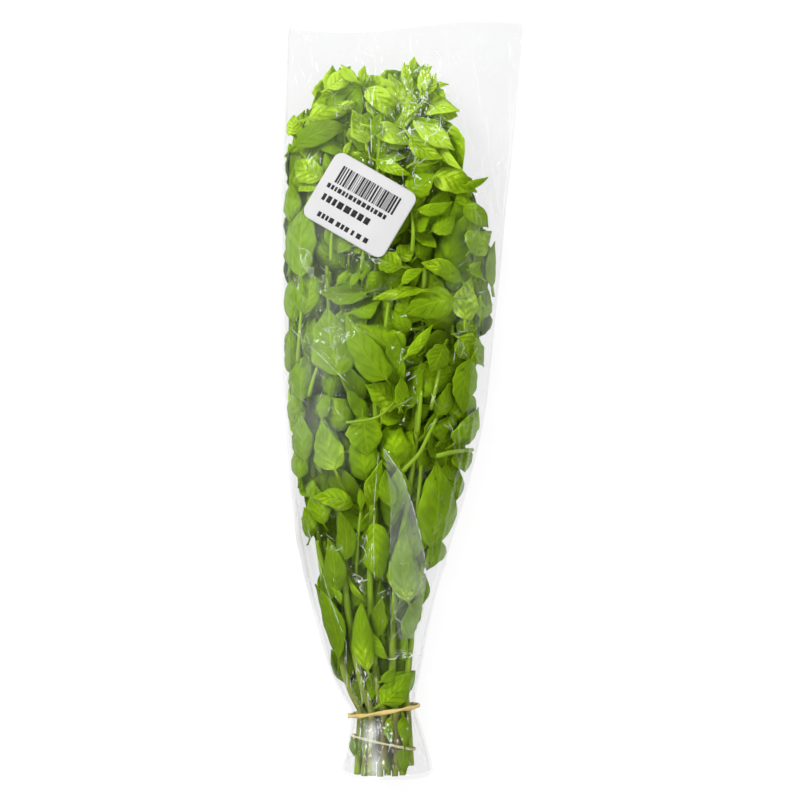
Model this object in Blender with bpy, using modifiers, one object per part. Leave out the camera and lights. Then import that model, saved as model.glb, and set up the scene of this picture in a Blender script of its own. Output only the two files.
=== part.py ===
"""Bunch of cut basil lying in a clear film sleeve, with two rubber bands and a label.

Metres, +Z up. +Y runs from the cut stems to the leaf tips, and the bunch lies on Z = 0.
The shape constants are in millimetres, and mesh and curve points are multiplied by MM.
"""

import math

import bpy
import numpy as np

MM = 0.001

# Film sleeve at stations along +Y: left edge, right edge, depth, how full its right side is, and
# the height of its right edge as a share of the depth. The fullness is a superellipse exponent:
# 2 is round, a higher one is squarer.
SLEEVE_STATIONS = (
    # y, left, right, depth, right fullness, right edge
    (-204.0, -33.0, 16.0, 21.5, 2.6, 0.40),
    (-190.0, -30.0, 14.0, 21.8, 2.6, 0.42),
    (-178.0, -28.6, 11.0, 21.2, 2.6, 0.44),
    (-168.0, -28.0, 7.8, 19.8, 2.6, 0.45),
    (-160.0, -33.0, 7.6, 21.0, 2.6, 0.43),
    (-148.0, -38.4, 9.9, 23.0, 2.5, 0.36),
    (-116.0, -48.0, 15.9, 27.0, 2.3, 0.24),
    (-83.0, -55.6, 25.0, 31.0, 2.1, 0.17),
    (-51.0, -59.9, 34.7, 36.0, 2.0, 0.14),
    (-19.0, -62.6, 42.7, 40.0, 1.9, 0.12),
    (13.0, -64.8, 47.6, 43.0, 1.8, 0.11),
    (46.0, -65.4, 50.8, 44.0, 1.8, 0.11),
    (94.0, -65.9, 55.6, 39.0, 1.8, 0.12),
    (142.0, -64.8, 60.5, 28.0, 2.0, 0.16),
    (175.0, -63.7, 63.7, 19.0, 2.4, 0.25),
    (203.0, -62.6, 65.7, 15.0, 2.6, 0.33),
)
LEFT_FULLNESS = 2.4
LEFT_EDGE = 0.4  # height of the sleeve's left edge, as a share of the depth
BOTTOM_FULLNESS = 4.0
FLAT_ALLOWANCE = 0.8  # how far the bottom's curve would pass below the table, which flattens it
NECK_Y = -168.0
NECK_LIFT = 2.9  # the neck's film stands this high, so the band below it clears the table
NECK_LIFT_REACH = 9.0
FILM = 0.4
FILM_AROUND = 36
FILM_ALONG = 24
MOUTH_WAVE = 3.0  # the leaf end's rim waves by this much
CUT_END_CORNER = 3.5  # the stem end's rim is this much shorter at its two corners
RIM_REACH = 25.0

GAP = 0.35  # between pieces that touch
LEAF = 0.6  # thickness of a leaf
LEAF_ROWS = 6
LEAF_COLUMNS = 4
PETIOLE = 0.8  # half-width of a leaf's stalk

# Rows of stems at the neck: height, share of the film's height higher up, then for each stem
# its x at the neck, its place across the sleeve (-1 to 1) at FAN_Y, and the y where it ends.
STEM_ROWS = (
    (
        6.3,
        0.30,
        ((-18.0, -0.60, 112.0), (-12.6, -0.26, 146.0), (-7.2, 0.10, 124.0), (-1.8, 0.42, 96.0)),
    ),
    (
        10.3,
        0.50,
        (
            (-22.5, -0.80, 88.0),
            (-16.0, -0.46, 158.0),
            (-9.8, -0.10, 164.0),
            (-3.5, 0.24, 142.0),
            (2.8, 0.56, 76.0),
        ),
    ),
    (14.4, 0.67, ((-16.5, -0.60, 98.0), (-10.0, -0.16, 152.0), (-3.6, 0.30, 108.0))),
)
FAN_Y = 100.0
STEM_CUT_Y = -202.5
STEM_CUT_STEP = 1.6  # the cut ends are this uneven
STEM_RADIUS = 1.9
STEM_TIP_RADIUS = 1.0
STEM_POINTS = 10

# Leaves against the front of the film, outermost first: base x, y, tip x, y, width, sideways bow
# of the midrib as a share of the length, and how far the edges hang.
FRONT_LEAVES = (
    (-9, 11, -30, 46, 17, 0.06, 1.2),
    (27, 54, 0, 45, 18, -0.05, 1.5),
    (15, -79, 18, -32, 21, -0.05, 1.5),
    (-54, 66, -51, 106, 17, 0.05, 1.0),
    (-15, -66, -12, -96, 17, -0.04, 1.2),
    (-21, -9, -19, -30, 19, 0.00, 1.0),
    (-3, -3, -20, 8, 15, -0.06, 1.5),
    (37, 22, 33, -7, 13, -0.08, 1.0),
    (-33, 13, -40, 49, 23, 0.04, 1.0),
    (28, -23, 41, -4, 12, -0.08, 1.0),
    (3, 111, 18, 121, 14, 0.00, 1.2),
    (17, 120, 40, 112, 15, 0.06, 1.2),
    (-60, 137, -31, 147, 13, 0.08, 1.0),
    (-43, 119, -58, 129, 14, 0.08, 1.0),
    (6, 161, 31, 156, 10, 0.08, 0.8),
    (8, 166, 6, 185, 10, -0.06, 0.8),
    (-12, 166, 0, 179, 12, 0.05, 0.8),
    (-38, 166, -38, 181, 10, 0.00, 0.6),
    (-18, 166, -9, 147, 12, 0.05, 1.0),
    (-22, 138, -27, 153, 12, 0.00, 1.0),
    (19, 152, 32, 123, 11, 0.08, 1.0),
    (-1, 71, -14, 78, 12, 0.08, 1.2),
    (31, 64, 10, 73, 10, -0.08, 1.5),
    (33, 43, 37, 66, 14, 0.05, 1.0),
    (-19, 57, -45, 58, 11, 0.06, 1.0),
    (-2, 7, -4, 35, 11, 0.05, 1.2),
    (22, 29, 15, 15, 12, 0.00, 1.0),
    (30, 33, 44, 18, 15, 0.05, 1.0),
    (-36, -37, -43, -11, 16, 0.04, 1.0),
    (-27, -56, -48, -52, 11, -0.08, 1.2),
    (-6, -56, -9, -37, 9, 0.05, 1.0),
    (-37, -132, -46, -99, 8, -0.06, 0.8),
    (-18, -146, -23, -111, 10, 0.06, 0.8),
    (2, -128, 12, -103, 9, 0.05, 0.8),
    (-14, -161, 3, -146, 11, 0.05, 0.3),
    (-6, -171, -7, -184, 7, 0.00, 0.0),
)
# Leaves against the back of the film, in the same form.
BACK_LEAVES = (
    (10, 20, -12, 56, 19, 0.05, 1.2),
    (-24, 60, -48, 92, 18, -0.05, 1.2),
    (14, 84, 36, 112, 17, 0.06, 1.2),
    (-14, 104, -22, 140, 17, 0.05, 1.0),
    (-30, -24, -52, 8, 18, 0.05, 1.2),
    (14, -40, 32, -8, 17, -0.05, 1.2),
    (-10, -86, -22, -54, 15, 0.05, 1.0),
)

LABEL_CENTRE = (-22.8, 103.8)
LABEL_SIZE = (50.0, 40.0)
LABEL_TURN = -30.5  # degrees
LABEL_CORNER = 5.0
LABEL_THICKNESS = 0.25
LABEL_COLUMNS = 10
LABEL_ROWS = 8

BAND_RADIUS = 1.15
BAND_SLOPE = 0.16
INNER_BAND_RADIUS = 0.8
INNER_BAND_Y = -185.0
INNER_BAND_SLOPE = -0.22
INNER_BAND_CENTRE = (-10.2, 10.6)
INNER_BAND_HALF = (16.9, 7.9)
INNER_BAND_FULLNESS = 2.6
BAND_POINTS = 36

CELL = 2.0  # grid of the pile of leaves
PILE_X = (-72.0, 72.0)
PILE_Y = (-212.0, 212.0)

LEAF_BRIGHT = (0.27, 0.46, 0.02)
LEAF_DEEP = (0.14, 0.28, 0.02)
STEM_GREEN = (0.28, 0.42, 0.08)
FILM_CLEAR = (0.92, 0.95, 0.93)
RUBBER_TAN = (0.60, 0.42, 0.16)
PAPER_WHITE = (0.86, 0.86, 0.85)


def clear_scene():
    for found in list(bpy.data.objects):
        bpy.data.objects.remove(found)


def new_material(name, colour, roughness, alpha=1.0):
    material = bpy.data.materials.new(name)
    material.use_nodes = True
    shader = material.node_tree.nodes["Principled BSDF"]
    shader.inputs["Base Color"].default_value = (*colour, 1.0)
    shader.inputs["Roughness"].default_value = roughness
    shader.inputs["Metallic"].default_value = 0.0
    shader.inputs["Alpha"].default_value = alpha
    return material


def smooth_step(value):
    value = np.clip(value, 0.0, 1.0)
    return value * value * (3.0 - 2.0 * value)


def station_value(column, y):
    """One column of the sleeve's stations at y, on a smooth curve through them."""
    places = np.array([station[0] for station in SLEEVE_STATIONS])
    values = np.array([station[column] for station in SLEEVE_STATIONS])
    slopes = np.gradient(values, places)
    y = np.clip(y, places[0], places[-1])
    index = np.clip(np.searchsorted(places, y) - 1, 0, len(places) - 2)
    span = places[index + 1] - places[index]
    t = (y - places[index]) / span
    leaving = (t**3 - 2 * t**2 + t) * span * slopes[index]
    arriving = (t**3 - t**2) * span * slopes[index + 1]
    blend = 3 * t**2 - 2 * t**3
    return values[index] * (1 - blend) + values[index + 1] * blend + leaving + arriving


def neck_lift(y):
    return NECK_LIFT * np.exp(-(((y - NECK_Y) / NECK_LIFT_REACH) ** 2))


def section(y):
    """Centre x, half-width, highest and lowest height of the sleeve at y."""
    left = station_value(1, y)
    right = station_value(2, y)
    depth = station_value(3, y)
    return (left + right) / 2, (right - left) / 2, depth, neck_lift(y)


def fullness(across, y):
    return np.where(across < 0, LEFT_FULLNESS, station_value(4, y))


def edge_height(across, y):
    """Height of the line between the sleeve's front and back, which slopes from edge to edge."""
    _, _, depth, low = section(y)
    share = LEFT_EDGE + (station_value(5, y) - LEFT_EDGE) * smooth_step((across + 1.0) / 2.0)
    return low + share * (depth - low)


def film_top(x, y):
    """Height of the outside of the sleeve's front."""
    centre, half, depth, _ = section(y)
    across = np.clip((x - centre) / half, -1.0, 1.0)
    seam = edge_height(across, y)
    power = fullness(across, y)
    return seam + (depth - seam) * (1.0 - np.abs(across) ** power) ** (1.0 / power)


def film_bottom(x, y):
    """Height of the outside of the sleeve's back."""
    centre, half, _, low = section(y)
    across = np.clip((x - centre) / half, -1.0, 1.0)
    seam = edge_height(across, y)
    curve = (1.0 - np.abs(across) ** BOTTOM_FULLNESS) ** (1.0 / BOTTOM_FULLNESS)
    return np.maximum(low, seam - (seam - low + FLAT_ALLOWANCE) * curve)


def film_point(angle, y):
    """Point on the outside of the sleeve, at an angle round its section."""
    centre, half, _, _ = section(y)
    cosine = math.cos(angle)
    front = math.sin(angle) >= 0
    power = float(fullness(cosine, y)) if front else BOTTOM_FULLNESS
    x = float(centre + half * math.copysign(abs(cosine) ** (2 / power), cosine))
    return x, float(film_top(x, y) if front else film_bottom(x, y))


def rim_shift(x, y):
    """How far a point of the film is moved along Y, so that both open ends have an uneven rim."""
    mouth = MOUTH_WAVE * math.cos(math.pi * (x - 42.0) / 73.0)
    centre, half, _, _ = section(y)
    cut_end = CUT_END_CORNER * abs((x - centre) / half) ** 6
    near_mouth = float(smooth_step((y - SLEEVE_STATIONS[-1][0] + RIM_REACH) / RIM_REACH))
    near_cut = float(smooth_step((SLEEVE_STATIONS[0][0] + RIM_REACH - y) / RIM_REACH))
    return mouth * near_mouth + cut_end * near_cut


def film_rows():
    """The y of each ring of the film: close together at the neck, wide apart elsewhere."""
    fine = np.linspace(SLEEVE_STATIONS[0][0], SLEEVE_STATIONS[-1][0], 400)
    density = 1.0 + 2.6 * np.exp(-(((fine - NECK_Y) / 22.0) ** 2))
    travelled = np.cumsum(density)
    travelled = (travelled - travelled[0]) / (travelled[-1] - travelled[0])
    return np.interp(np.linspace(0.0, 1.0, FILM_ALONG + 1), travelled, fine)


def grid_faces(rows, columns, closed):
    """Quads over rows + 1 rings of points, each ring closed or with columns + 1 points."""
    ring = columns if closed else columns + 1
    for row in range(rows):
        for column in range(columns):
            after = (column + 1) % ring
            yield (
                row * ring + column,
                row * ring + after,
                (row + 1) * ring + after,
                (row + 1) * ring + column,
            )


def sheet_object(name, points, faces, thickness, material, collection):
    """A sheet through the points, given its thickness on the side away from its normals."""
    mesh = bpy.data.meshes.new(name)
    mesh.from_pydata([[value * MM for value in point] for point in points], [], list(faces))
    for polygon in mesh.polygons:
        polygon.use_smooth = True
    mesh.materials.append(material)
    sheet = bpy.data.objects.new(name, mesh)
    collection.objects.link(sheet)
    solidify = sheet.modifiers.new("Thickness", "SOLIDIFY")
    solidify.thickness = thickness * MM
    solidify.offset = -1.0
    return sheet


def add_sleeve(material, collection):
    points = []
    for y in film_rows():
        for step in range(FILM_AROUND):
            x, z = film_point(2 * math.pi * step / FILM_AROUND, y)
            points.append((x, y + rim_shift(x, y), z))
    # The faces run the other way round the ring, so their normals point outwards.
    faces = [face[::-1] for face in grid_faces(FILM_ALONG, FILM_AROUND, True)]
    sheet_object("sleeve", points, faces, FILM, material, collection)


def add_tube(name, points, radii, closed, material, collection, sides=8):
    """A round bar along the points, with its own radius at each of them."""
    curve = bpy.data.curves.new(name, "CURVE")
    curve.dimensions = "3D"
    curve.bevel_depth = MM
    curve.bevel_resolution = sides // 2 - 2
    curve.use_fill_caps = not closed
    spline = curve.splines.new("POLY")
    spline.points.add(len(points) - 1)
    spline.use_cyclic_u = closed
    spline.use_smooth = True
    for target, point, radius in zip(spline.points, points, radii):
        target.co = (*(value * MM for value in point), 1.0)
        target.radius = radius
    curve.materials.append(material)
    collection.objects.link(bpy.data.objects.new(name, curve))


def stem_point(row, neck_x, fan_place, y):
    """Point of a stem's centre line: gathered at the neck, spread by the sleeve above it."""
    height, share, _ = row
    neck_centre, neck_half, _, _ = section(NECK_Y)
    if y <= NECK_Y:
        spread = 1.0 + 0.15 * (NECK_Y - y) / (NECK_Y - STEM_CUT_Y)
        return float(neck_centre + (neck_x - neck_centre) * spread), height
    centre, half, _, _ = section(y)
    along = min(1.0, (y - NECK_Y) / (FAN_Y - NECK_Y))
    neck_place = (neck_x - neck_centre) / neck_half
    x = float(centre + half * (neck_place + (fan_place - neck_place) * along))
    lifted = float(smooth_step((y + 160.0) / 100.0))
    return x, height + (share * float(film_top(x, y)) - height) * lifted


def add_stems(material, collection):
    number = 0
    for row in STEM_ROWS:
        for neck_x, fan_place, end_y in row[2]:
            number += 1
            cut_y = STEM_CUT_Y + STEM_CUT_STEP * (number * 7 % 5)
            points = []
            radii = []
            for step in range(STEM_POINTS):
                along = step / (STEM_POINTS - 1)
                y = cut_y + (end_y - cut_y) * along
                x, z = stem_point(row, neck_x, fan_place, y)
                points.append((x, y, z))
                radii.append(STEM_RADIUS + (STEM_TIP_RADIUS - STEM_RADIUS) * along**1.5)
            add_tube(f"stem_{number:02d}", points, radii, False, material, collection)


class Pile:
    """The room left under the leaves laid so far, as a height over each cell of a grid.

    Heights are counted outwards: up for the front of the bunch, down for the back.
    """

    def __init__(self, side):
        self.side = side
        x = np.arange(PILE_X[0], PILE_X[1] + CELL, CELL)
        y = np.arange(PILE_Y[0], PILE_Y[1] + CELL, CELL)
        grid_x, grid_y = np.meshgrid(x, y, indexing="ij")
        film = film_top(grid_x, grid_y) if side > 0 else -film_bottom(grid_x, grid_y)
        self.room = film - FILM - GAP

    def smoothed(self):
        """The room with its steps turned into slopes, and nowhere above the room itself."""
        lowest = self.room
        for _ in range(2):
            lowest = neighbours(lowest).min(axis=0)
        for _ in range(2):
            lowest = neighbours(lowest).mean(axis=0)
        return np.minimum(lowest, self.room)

    def read(self, heights, x, y):
        """Bilinear reading of a grid of heights."""
        across = (x - PILE_X[0]) / CELL
        along = (y - PILE_Y[0]) / CELL
        i = np.clip(across.astype(int), 0, heights.shape[0] - 2)
        j = np.clip(along.astype(int), 0, heights.shape[1] - 2)
        u = across - i
        v = along - j
        near = heights[i, j] * (1 - u) + heights[i + 1, j] * u
        far = heights[i, j + 1] * (1 - u) + heights[i + 1, j + 1] * u
        return near * (1 - v) + far * v

    def settle(self, x, y, hang):
        """Outward heights of a leaf that lies under the pile, and the pile with it added."""
        height = self.read(self.smoothed(), x, y) - hang
        fine_x = refine(x)
        fine_y = refine(y)
        fine_height = refine(height)
        over = np.max(fine_height - self.read(self.room, fine_x, fine_y))
        drop = max(0.0, float(over)) + GAP
        i = np.round((fine_x - PILE_X[0]) / CELL).astype(int)
        j = np.round((fine_y - PILE_Y[0]) / CELL).astype(int)
        under = fine_height - drop - LEAF - GAP
        for step_i in (-1, 0, 1):
            for step_j in (-1, 0, 1):
                np.minimum.at(self.room, (i + step_i, j + step_j), under)
        return (height - drop) * self.side


def neighbours(grid):
    """The grid and its eight shifts by one cell, with the edges repeated."""
    wide = np.pad(grid, 1, mode="edge")
    rows, columns = grid.shape
    return np.stack([wide[i : i + rows, j : j + columns] for i in range(3) for j in range(3)])


def refine(grid):
    """The grid with seven more points between each two along both directions."""
    for _ in range(3):
        between = (grid[1:] + grid[:-1]) / 2
        finer = np.empty((len(grid) + len(between), grid.shape[1]))
        finer[0::2] = grid
        finer[1::2] = between
        grid = finer
        between = (grid[:, 1:] + grid[:, :-1]) / 2
        finer = np.empty((len(grid), grid.shape[1] + between.shape[1]))
        finer[:, 0::2] = grid
        finer[:, 1::2] = between
        grid = finer
    return grid


def leaf_plan(base, tip, width, bow, side):
    """Seen from above: x and y of a leaf's grid, how far along each row is, and how far each
    point is from the midrib as a share of the leaf's half-width.

    The first row is the foot of the stalk, the second is where the blade starts.
    """
    base = np.array(base, float)
    tip = np.array(tip, float)
    forward = tip - base
    length = float(np.hypot(*forward))
    sideways = np.array([-forward[1], forward[0]]) / length
    along = np.concatenate([[-0.22], np.linspace(0.0, 1.0, LEAF_ROWS)])
    blade = np.clip(along, 0.0, 1.0)
    half = width / 2 * np.sin(math.pi * blade**0.75) ** 0.75
    half = np.maximum(half, PETIOLE * (1.0 - 0.6 * blade))
    bowed = bow * length * 4 * along * (1 - along)
    middle = base + np.outer(along, forward) + np.outer(bowed, sideways)
    across = np.outer(half, np.linspace(-1.0, 1.0, LEAF_COLUMNS + 1) * side)
    x = middle[:, :1] + across * sideways[0]
    y = middle[:, 1:] + across * sideways[1]
    return x, y, along, across / (width / 2)


def keep_inside(x, y):
    """Moves points that would leave the sleeve back inside its sides."""
    centre, half, _, _ = section(y)
    return np.clip(x, centre - 0.955 * half, centre + 0.955 * half)


def add_leaves(leaves, pile, first, materials, collection):
    for number, (base_x, base_y, tip_x, tip_y, width, bow, hang) in enumerate(leaves, first):
        x, y, along, spread = leaf_plan((base_x, base_y), (tip_x, tip_y), width, bow, pile.side)
        x = keep_inside(x, y)
        hanging = hang * (spread**2 + 0.4 * np.clip(0.4 - along, 0.0, 1.0)[:, None])
        z = pile.settle(x, y, hanging)
        points = np.stack([x, y, z], axis=-1).reshape(-1, 3).tolist()
        faces = [face[::-1] for face in grid_faces(LEAF_ROWS, LEAF_COLUMNS, False)]
        material = materials[number % len(materials)]
        sheet_object(f"leaf_{number:02d}", points, faces, LEAF, material, collection)


def rounded_corner(x, y):
    """A point of the label's rectangle, drawn in where it would be outside a rounded corner."""
    inner_x = LABEL_SIZE[0] / 2 - LABEL_CORNER
    inner_y = LABEL_SIZE[1] / 2 - LABEL_CORNER
    past_x = max(0.0, abs(x) - inner_x)
    past_y = max(0.0, abs(y) - inner_y)
    distance = math.hypot(past_x, past_y)
    if distance <= LABEL_CORNER:
        return x, y
    shrink = LABEL_CORNER / distance
    return math.copysign(inner_x + past_x * shrink, x), math.copysign(inner_y + past_y * shrink, y)


def add_label(material, collection):
    turn = math.radians(LABEL_TURN)
    points = []
    for row in range(LABEL_ROWS + 1):
        for column in range(LABEL_COLUMNS + 1):
            flat_x, flat_y = rounded_corner(
                LABEL_SIZE[0] * (column / LABEL_COLUMNS - 0.5),
                LABEL_SIZE[1] * (row / LABEL_ROWS - 0.5),
            )
            x = LABEL_CENTRE[0] + flat_x * math.cos(turn) - flat_y * math.sin(turn)
            y = LABEL_CENTRE[1] + flat_x * math.sin(turn) + flat_y * math.cos(turn)
            points.append((x, y, float(film_top(x, y)) + GAP + LABEL_THICKNESS))
    faces = grid_faces(LABEL_ROWS, LABEL_COLUMNS, False)
    sheet_object("label", points, faces, LABEL_THICKNESS, material, collection)


def add_outer_band(material, collection):
    """The band round the neck, following the outside of the film."""
    middle, _, _, _ = section(NECK_Y)
    away = GAP + BAND_RADIUS
    points = []
    for step in range(BAND_POINTS):
        angle = 2 * math.pi * step / BAND_POINTS
        x, z = film_point(angle, NECK_Y)
        y = NECK_Y + BAND_SLOPE * (x - float(middle))
        x, z = film_point(angle, y)
        before = film_point(angle - 0.05, y)
        after = film_point(angle + 0.05, y)
        run = math.hypot(after[0] - before[0], after[1] - before[1])
        outward_x = (after[1] - before[1]) / run
        outward_z = (before[0] - after[0]) / run
        points.append((x + away * outward_x, y, z + away * outward_z))
    add_tube("outer_band", points, [BAND_RADIUS] * BAND_POINTS, True, material, collection)


def add_inner_band(material, collection):
    """The band round the stems, inside the film."""
    points = []
    for step in range(BAND_POINTS):
        angle = 2 * math.pi * (step + 0.5) / BAND_POINTS
        cosine = math.cos(angle)
        sine = math.sin(angle)
        power = 2 / INNER_BAND_FULLNESS
        x = INNER_BAND_HALF[0] * math.copysign(abs(cosine) ** power, cosine)
        z = INNER_BAND_HALF[1] * math.copysign(abs(sine) ** power, sine)
        y = INNER_BAND_Y + INNER_BAND_SLOPE * x
        points.append((INNER_BAND_CENTRE[0] + x, y, INNER_BAND_CENTRE[1] + z))
    add_tube("inner_band", points, [INNER_BAND_RADIUS] * BAND_POINTS, True, material, collection)


def main():
    clear_scene()
    collection = bpy.data.collections.new("basil_bunch")
    bpy.context.scene.collection.children.link(collection)
    film = new_material("film", FILM_CLEAR, 0.08, 0.25)
    rubber = new_material("rubber", RUBBER_TAN, 0.55)
    paper = new_material("label", PAPER_WHITE, 0.6)
    stem = new_material("stem", STEM_GREEN, 0.5)
    bright = new_material("leaf_bright", LEAF_BRIGHT, 0.5)
    deep = new_material("leaf_deep", LEAF_DEEP, 0.5)
    add_sleeve(film, collection)
    add_label(paper, collection)
    add_outer_band(rubber, collection)
    add_inner_band(rubber, collection)
    add_stems(stem, collection)
    add_leaves(FRONT_LEAVES, Pile(1), 1, (bright, deep), collection)
    add_leaves(BACK_LEAVES, Pile(-1), len(FRONT_LEAVES) + 1, (bright, deep), collection)


main()
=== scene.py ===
import math

import bpy
import numpy as np
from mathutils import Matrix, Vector


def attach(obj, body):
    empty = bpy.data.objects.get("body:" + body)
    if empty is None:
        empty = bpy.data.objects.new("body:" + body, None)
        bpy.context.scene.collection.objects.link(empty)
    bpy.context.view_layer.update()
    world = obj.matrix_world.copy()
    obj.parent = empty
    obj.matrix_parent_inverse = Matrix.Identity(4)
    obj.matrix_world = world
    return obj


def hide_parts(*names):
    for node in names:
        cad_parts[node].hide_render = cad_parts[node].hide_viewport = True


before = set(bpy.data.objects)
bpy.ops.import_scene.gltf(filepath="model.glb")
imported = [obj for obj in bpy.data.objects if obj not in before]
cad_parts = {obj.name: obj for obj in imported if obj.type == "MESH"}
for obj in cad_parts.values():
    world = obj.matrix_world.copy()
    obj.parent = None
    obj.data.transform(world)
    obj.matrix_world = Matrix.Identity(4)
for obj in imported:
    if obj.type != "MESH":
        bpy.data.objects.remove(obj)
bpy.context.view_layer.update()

# Lengths are in millimetres up to the moment that a mesh is made, and each random draw is seeded.
MM = 0.001
BODY = "root"

# ---------------------------------------------------------------- the sleeve, as the CAD has it
# Rows of y, left, right, depth, right fullness, right edge.
SLEEVE_STATIONS = (
    (-204.0, -33.0, 16.0, 21.5, 2.6, 0.4), (-190.0, -30.0, 14.0, 21.8, 2.6, 0.42),
    (-178.0, -28.6, 11.0, 21.2, 2.6, 0.44), (-168.0, -28.0, 7.8, 19.8, 2.6, 0.45),
    (-160.0, -33.0, 7.6, 21.0, 2.6, 0.43), (-148.0, -38.4, 9.9, 23.0, 2.5, 0.36),
    (-116.0, -48.0, 15.9, 27.0, 2.3, 0.24), (-83.0, -55.6, 25.0, 31.0, 2.1, 0.17),
    (-51.0, -59.9, 34.7, 36.0, 2.0, 0.14), (-19.0, -62.6, 42.7, 40.0, 1.9, 0.12),
    (13.0, -64.8, 47.6, 43.0, 1.8, 0.11), (46.0, -65.4, 50.8, 44.0, 1.8, 0.11),
    (94.0, -65.9, 55.6, 39.0, 1.8, 0.12), (142.0, -64.8, 60.5, 28.0, 2.0, 0.16),
    (175.0, -63.7, 63.7, 19.0, 2.4, 0.25), (203.0, -62.6, 65.7, 15.0, 2.6, 0.33),
)
LEFT, RIGHT, DEPTH, RIGHT_FULLNESS, RIGHT_EDGE = range(1, 6)
LEFT_FULLNESS = 2.4
LEFT_EDGE = 0.4
BOTTOM_FULLNESS = 4.0
FLAT_ALLOWANCE = 0.8
NECK_Y = -168.0
NECK_LIFT = 2.9
NECK_LIFT_REACH = 9.0
MOUTH_WAVE = 3.0
MOUTH_WAVE_CREST = 42.0
MOUTH_WAVE_REACH = 73.0
CUT_END_CORNER = 3.5
RIM_REACH = 25.0
GAP = 0.35

STATION_Y = np.array([station[0] for station in SLEEVE_STATIONS])
STATION_VALUES = np.array(SLEEVE_STATIONS).T
STATION_SLOPES = np.array([np.gradient(values, STATION_Y) for values in STATION_VALUES])


def smooth_step(value):
    value = np.clip(value, 0.0, 1.0)
    return value * value * (3.0 - 2.0 * value)


def station_value(column, y):
    """A column of the stations at y, on a smooth curve through them."""
    values = STATION_VALUES[column]
    slopes = STATION_SLOPES[column]
    y = np.clip(y, STATION_Y[0], STATION_Y[-1])
    index = np.clip(np.searchsorted(STATION_Y, y) - 1, 0, len(STATION_Y) - 2)
    span = STATION_Y[index + 1] - STATION_Y[index]
    t = (y - STATION_Y[index]) / span
    leaving = (t**3 - 2 * t**2 + t) * span * slopes[index]
    arriving = (t**3 - t**2) * span * slopes[index + 1]
    blend = 3 * t**2 - 2 * t**3
    return values[index] * (1 - blend) + values[index + 1] * blend + leaving + arriving


def section(y):
    """Centre x, half-width, highest and lowest height of the sleeve at y."""
    left = station_value(LEFT, y)
    right = station_value(RIGHT, y)
    low = NECK_LIFT * np.exp(-(((y - NECK_Y) / NECK_LIFT_REACH) ** 2))
    return (left + right) / 2, (right - left) / 2, station_value(DEPTH, y), low


def fullness(across, y):
    return np.where(across < 0, LEFT_FULLNESS, station_value(RIGHT_FULLNESS, y))


def edge_height(across, y):
    _, _, depth, low = section(y)
    share = LEFT_EDGE + (station_value(RIGHT_EDGE, y) - LEFT_EDGE) * smooth_step((across + 1.0) / 2.0)
    return low + share * (depth - low)


def film_top(x, y):
    centre, half, depth, _ = section(y)
    across = np.clip((x - centre) / half, -1.0, 1.0)
    seam = edge_height(across, y)
    power = fullness(across, y)
    return seam + (depth - seam) * (1.0 - np.abs(across) ** power) ** (1.0 / power)


def film_bottom(x, y):
    centre, half, _, low = section(y)
    across = np.clip((x - centre) / half, -1.0, 1.0)
    seam = edge_height(across, y)
    curve = (1.0 - np.abs(across) ** BOTTOM_FULLNESS) ** (1.0 / BOTTOM_FULLNESS)
    return np.maximum(low, seam - (seam - low + FLAT_ALLOWANCE) * curve)


def film_point(angle, y):
    """x and z of the film at an angle round its section."""
    centre, half, _, _ = section(y)
    cosine = np.cos(angle)
    front = np.sin(angle) >= 0
    power = np.where(front, fullness(cosine, y), BOTTOM_FULLNESS)
    x = centre + half * np.sign(cosine) * np.abs(cosine) ** (2 / power)
    return x, np.where(front, film_top(x, y), film_bottom(x, y))


def rim_shift(x, y):
    """How far the film's two cut ends stand out along y."""
    mouth = MOUTH_WAVE * np.cos(math.pi * (x - MOUTH_WAVE_CREST) / MOUTH_WAVE_REACH)
    centre, half, _, _ = section(y)
    cut_end = CUT_END_CORNER * np.abs((x - centre) / half) ** 6
    near_mouth = smooth_step((y - STATION_Y[-1] + RIM_REACH) / RIM_REACH)
    near_cut = smooth_step((STATION_Y[0] + RIM_REACH - y) / RIM_REACH)
    return mouth * near_mouth + cut_end * near_cut


# ---------------------------------------------------------------- stems, as the CAD has them
# Rows of height at the neck, height in the fan as a share of the film's, and the stems in the row:
# x at the neck, place across the fan, y of the upper end.
STEM_ROWS = (
    (6.3, 0.3, ((-18.0, -0.6, 112.0), (-12.6, -0.26, 146.0), (-7.2, 0.1, 124.0), (-1.8, 0.42, 96.0))),
    (
        10.3,
        0.5,
        (
            (-22.5, -0.8, 88.0), (-16.0, -0.46, 158.0), (-9.8, -0.1, 164.0), (-3.5, 0.24, 142.0),
            (2.8, 0.56, 76.0),
        ),
    ),
    (14.4, 0.67, ((-16.5, -0.6, 98.0), (-10.0, -0.16, 152.0), (-3.6, 0.3, 108.0))),
)
FAN_Y = 100.0
STEM_CUT_Y = -202.5
STEM_CUT_STEP = 1.6
STEM_RADIUS = 1.9
STEM_TIP_RADIUS = 1.0
STEM_FOOT_SPREAD = 0.15
STEM_LIFT_Y = -160.0
STEM_LIFT_REACH = 100.0
STEM_POINTS = 150
STEM_SIDES = 12
STALK_SIDES = 8
# The ribs of a stem, and its joints: how far apart, how long, and how much thicker.
RIBS = 4
JOINT_STEP = 34.0
JOINT_REACH = 2.2
JOINT_GAIN = 0.13


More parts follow.
